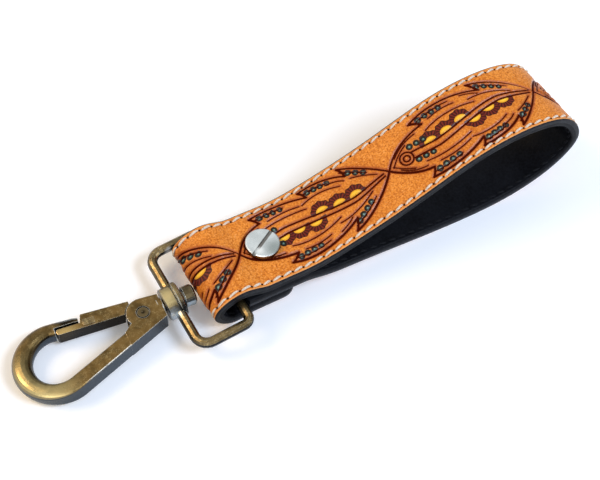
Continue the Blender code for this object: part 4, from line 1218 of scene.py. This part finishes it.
def soft_room(settings):
    """A studio room: white to the camera, even soft light on the matt surfaces, and to the metal a bright
    ceiling and window over dim near walls."""
    world = bpy.data.worlds.new("soft room")
    world.use_nodes = True
    tree = world.node_tree
    direction = add_node(tree, "ShaderNodeTexCoord", output="Generated")
    glows = []
    for side, limits in ((ROOM_BRIGHT_SIDE, ROOM_RANGE), (WINDOW_SIDE, WINDOW_RANGE)):
        along = add_node(tree, "ShaderNodeVectorMath", (direction, side), "Value", operation="DOT_PRODUCT")
        light = add_node(tree, "ShaderNodeMapRange", (along, *limits), interpolation_type="SMOOTHSTEP")
        glows.append(light)
    glow = add_node(tree, "ShaderNodeMath", glows, operation="ADD")
    seen = add_node(tree, "ShaderNodeLightPath").node.outputs
    strength = add_node(tree, "ShaderNodeMix",
                        {MIX_FACTOR: seen["Is Glossy Ray"], MIX_A: settings.room, MIX_B: glow})
    backdrop = add_node(tree, "ShaderNodeMix",
                        {MIX_FACTOR: seen["Is Camera Ray"], MIX_A: strength, MIX_B: 1.0})
    fill_inputs(tree, tree.nodes["Background"], {"Color": linear("#F4F7FB"), "Strength": backdrop})
    return world


def floor_paper(settings):
    """White seamless paper: matt, and white to the camera where no shadow falls."""
    paper = Finish("seamless paper, matt white", settings.floor,
                   {"Roughness": 0.9, "Specular IOR Level": 0.2})
    path = paper.add("ShaderNodeLightPath").node
    seen = paper.add("ShaderNodeMath", (path.outputs["Is Camera Ray"], path.outputs["Is Glossy Ray"]),
                     operation="MAXIMUM")
    away = paper.add("ShaderNodeVectorMath", (paper.place,), "Value", operation="LENGTH")
    glowing = paper.spread((away, *FLOOR_GLOW_RANGE))
    strength = paper.add("ShaderNodeMath", (seen, glowing), operation="MULTIPLY")
    glow = paper.add("ShaderNodeEmission", {"Color": linear("#FFFFFF"), "Strength": strength})
    both = paper.add("ShaderNodeAddShader", (paper.shader.outputs["BSDF"], glow))
    fill_inputs(paper.tree, paper.surface, {"Surface": both})
    return paper.done({})


class KEYCHAIN_OT_stage(bpy.types.Operator):
    """Set the plain pale floor, the soft studio light and the camera"""
    bl_idname = "keychain.stage"
    bl_label = "Stage"

    def execute(self, context):
        settings = context.scene.keychain_stage
        start_clean()
        bpy.ops.mesh.primitive_plane_add(size=FLOOR_SIZE, location=(0, 0, 0))
        floor = bpy.context.object
        floor.name = "floor"
        floor.data.materials.append(floor_paper(settings))
        camera = bpy.data.cameras.new("camera")
        camera.lens = settings.lens
        camera.sensor_width = SENSOR_WIDTH_MM
        camera.clip_start = NEAREST_SEEN
        context.scene.camera = put_in_scene(context, "camera", camera, camera_matrix())
        context.scene.world = soft_room(settings)
        for name, place, aim, size, times, colour in SOFT_BOXES:
            soft_box(context, name, place, aim, size, times * settings.lamp_power, colour)
        context.scene.view_settings.view_transform = "Standard"
        return {"FINISHED"}


# Panel and registration

class KEYCHAIN_PT_panel(bpy.types.Panel):
    """The keychain's settings and operators"""
    bl_label = "Keychain"
    bl_idname = "KEYCHAIN_PT_panel"
    bl_space_type = "VIEW_3D"
    bl_region_type = "UI"
    bl_category = "Keychain"

    def draw(self, context):
        for settings in SETTINGS:
            box = self.layout.box()
            group = getattr(context.scene, settings)
            for name in group.__annotations__:
                box.prop(group, name)
        for operator in OPERATORS:
            self.layout.operator(operator.bl_idname)


SETTINGS = {
    "keychain_strap": KeychainStrapSettings,
    "keychain_hook": KeychainHookSettings,
    "keychain_stage": KeychainStageSettings,
}
OPERATORS = (
    KEYCHAIN_OT_stage, KEYCHAIN_OT_tooled_ply, KEYCHAIN_OT_lining_ply, KEYCHAIN_OT_stitching,
    KEYCHAIN_OT_thumb_pad, KEYCHAIN_OT_metal_finishes,
)


def register():
    for kind in (*SETTINGS.values(), *OPERATORS, KEYCHAIN_PT_panel):
        bpy.utils.register_class(kind)
    for name, group in SETTINGS.items():
        setattr(bpy.types.Scene, name, PointerProperty(type=group))


def unregister():
    for name in SETTINGS:
        delattr(bpy.types.Scene, name)
    for kind in (KEYCHAIN_PT_panel, *OPERATORS, *SETTINGS.values()):
        bpy.utils.unregister_class(kind)


def main():
    register()
    bpy.ops.keychain.stage()
    bpy.ops.keychain.tooled_ply()
    bpy.ops.keychain.lining_ply()
    bpy.ops.keychain.stitching()
    bpy.ops.keychain.thumb_pad()
    bpy.ops.keychain.metal_finishes()


if __name__ == "__main__":
    main()
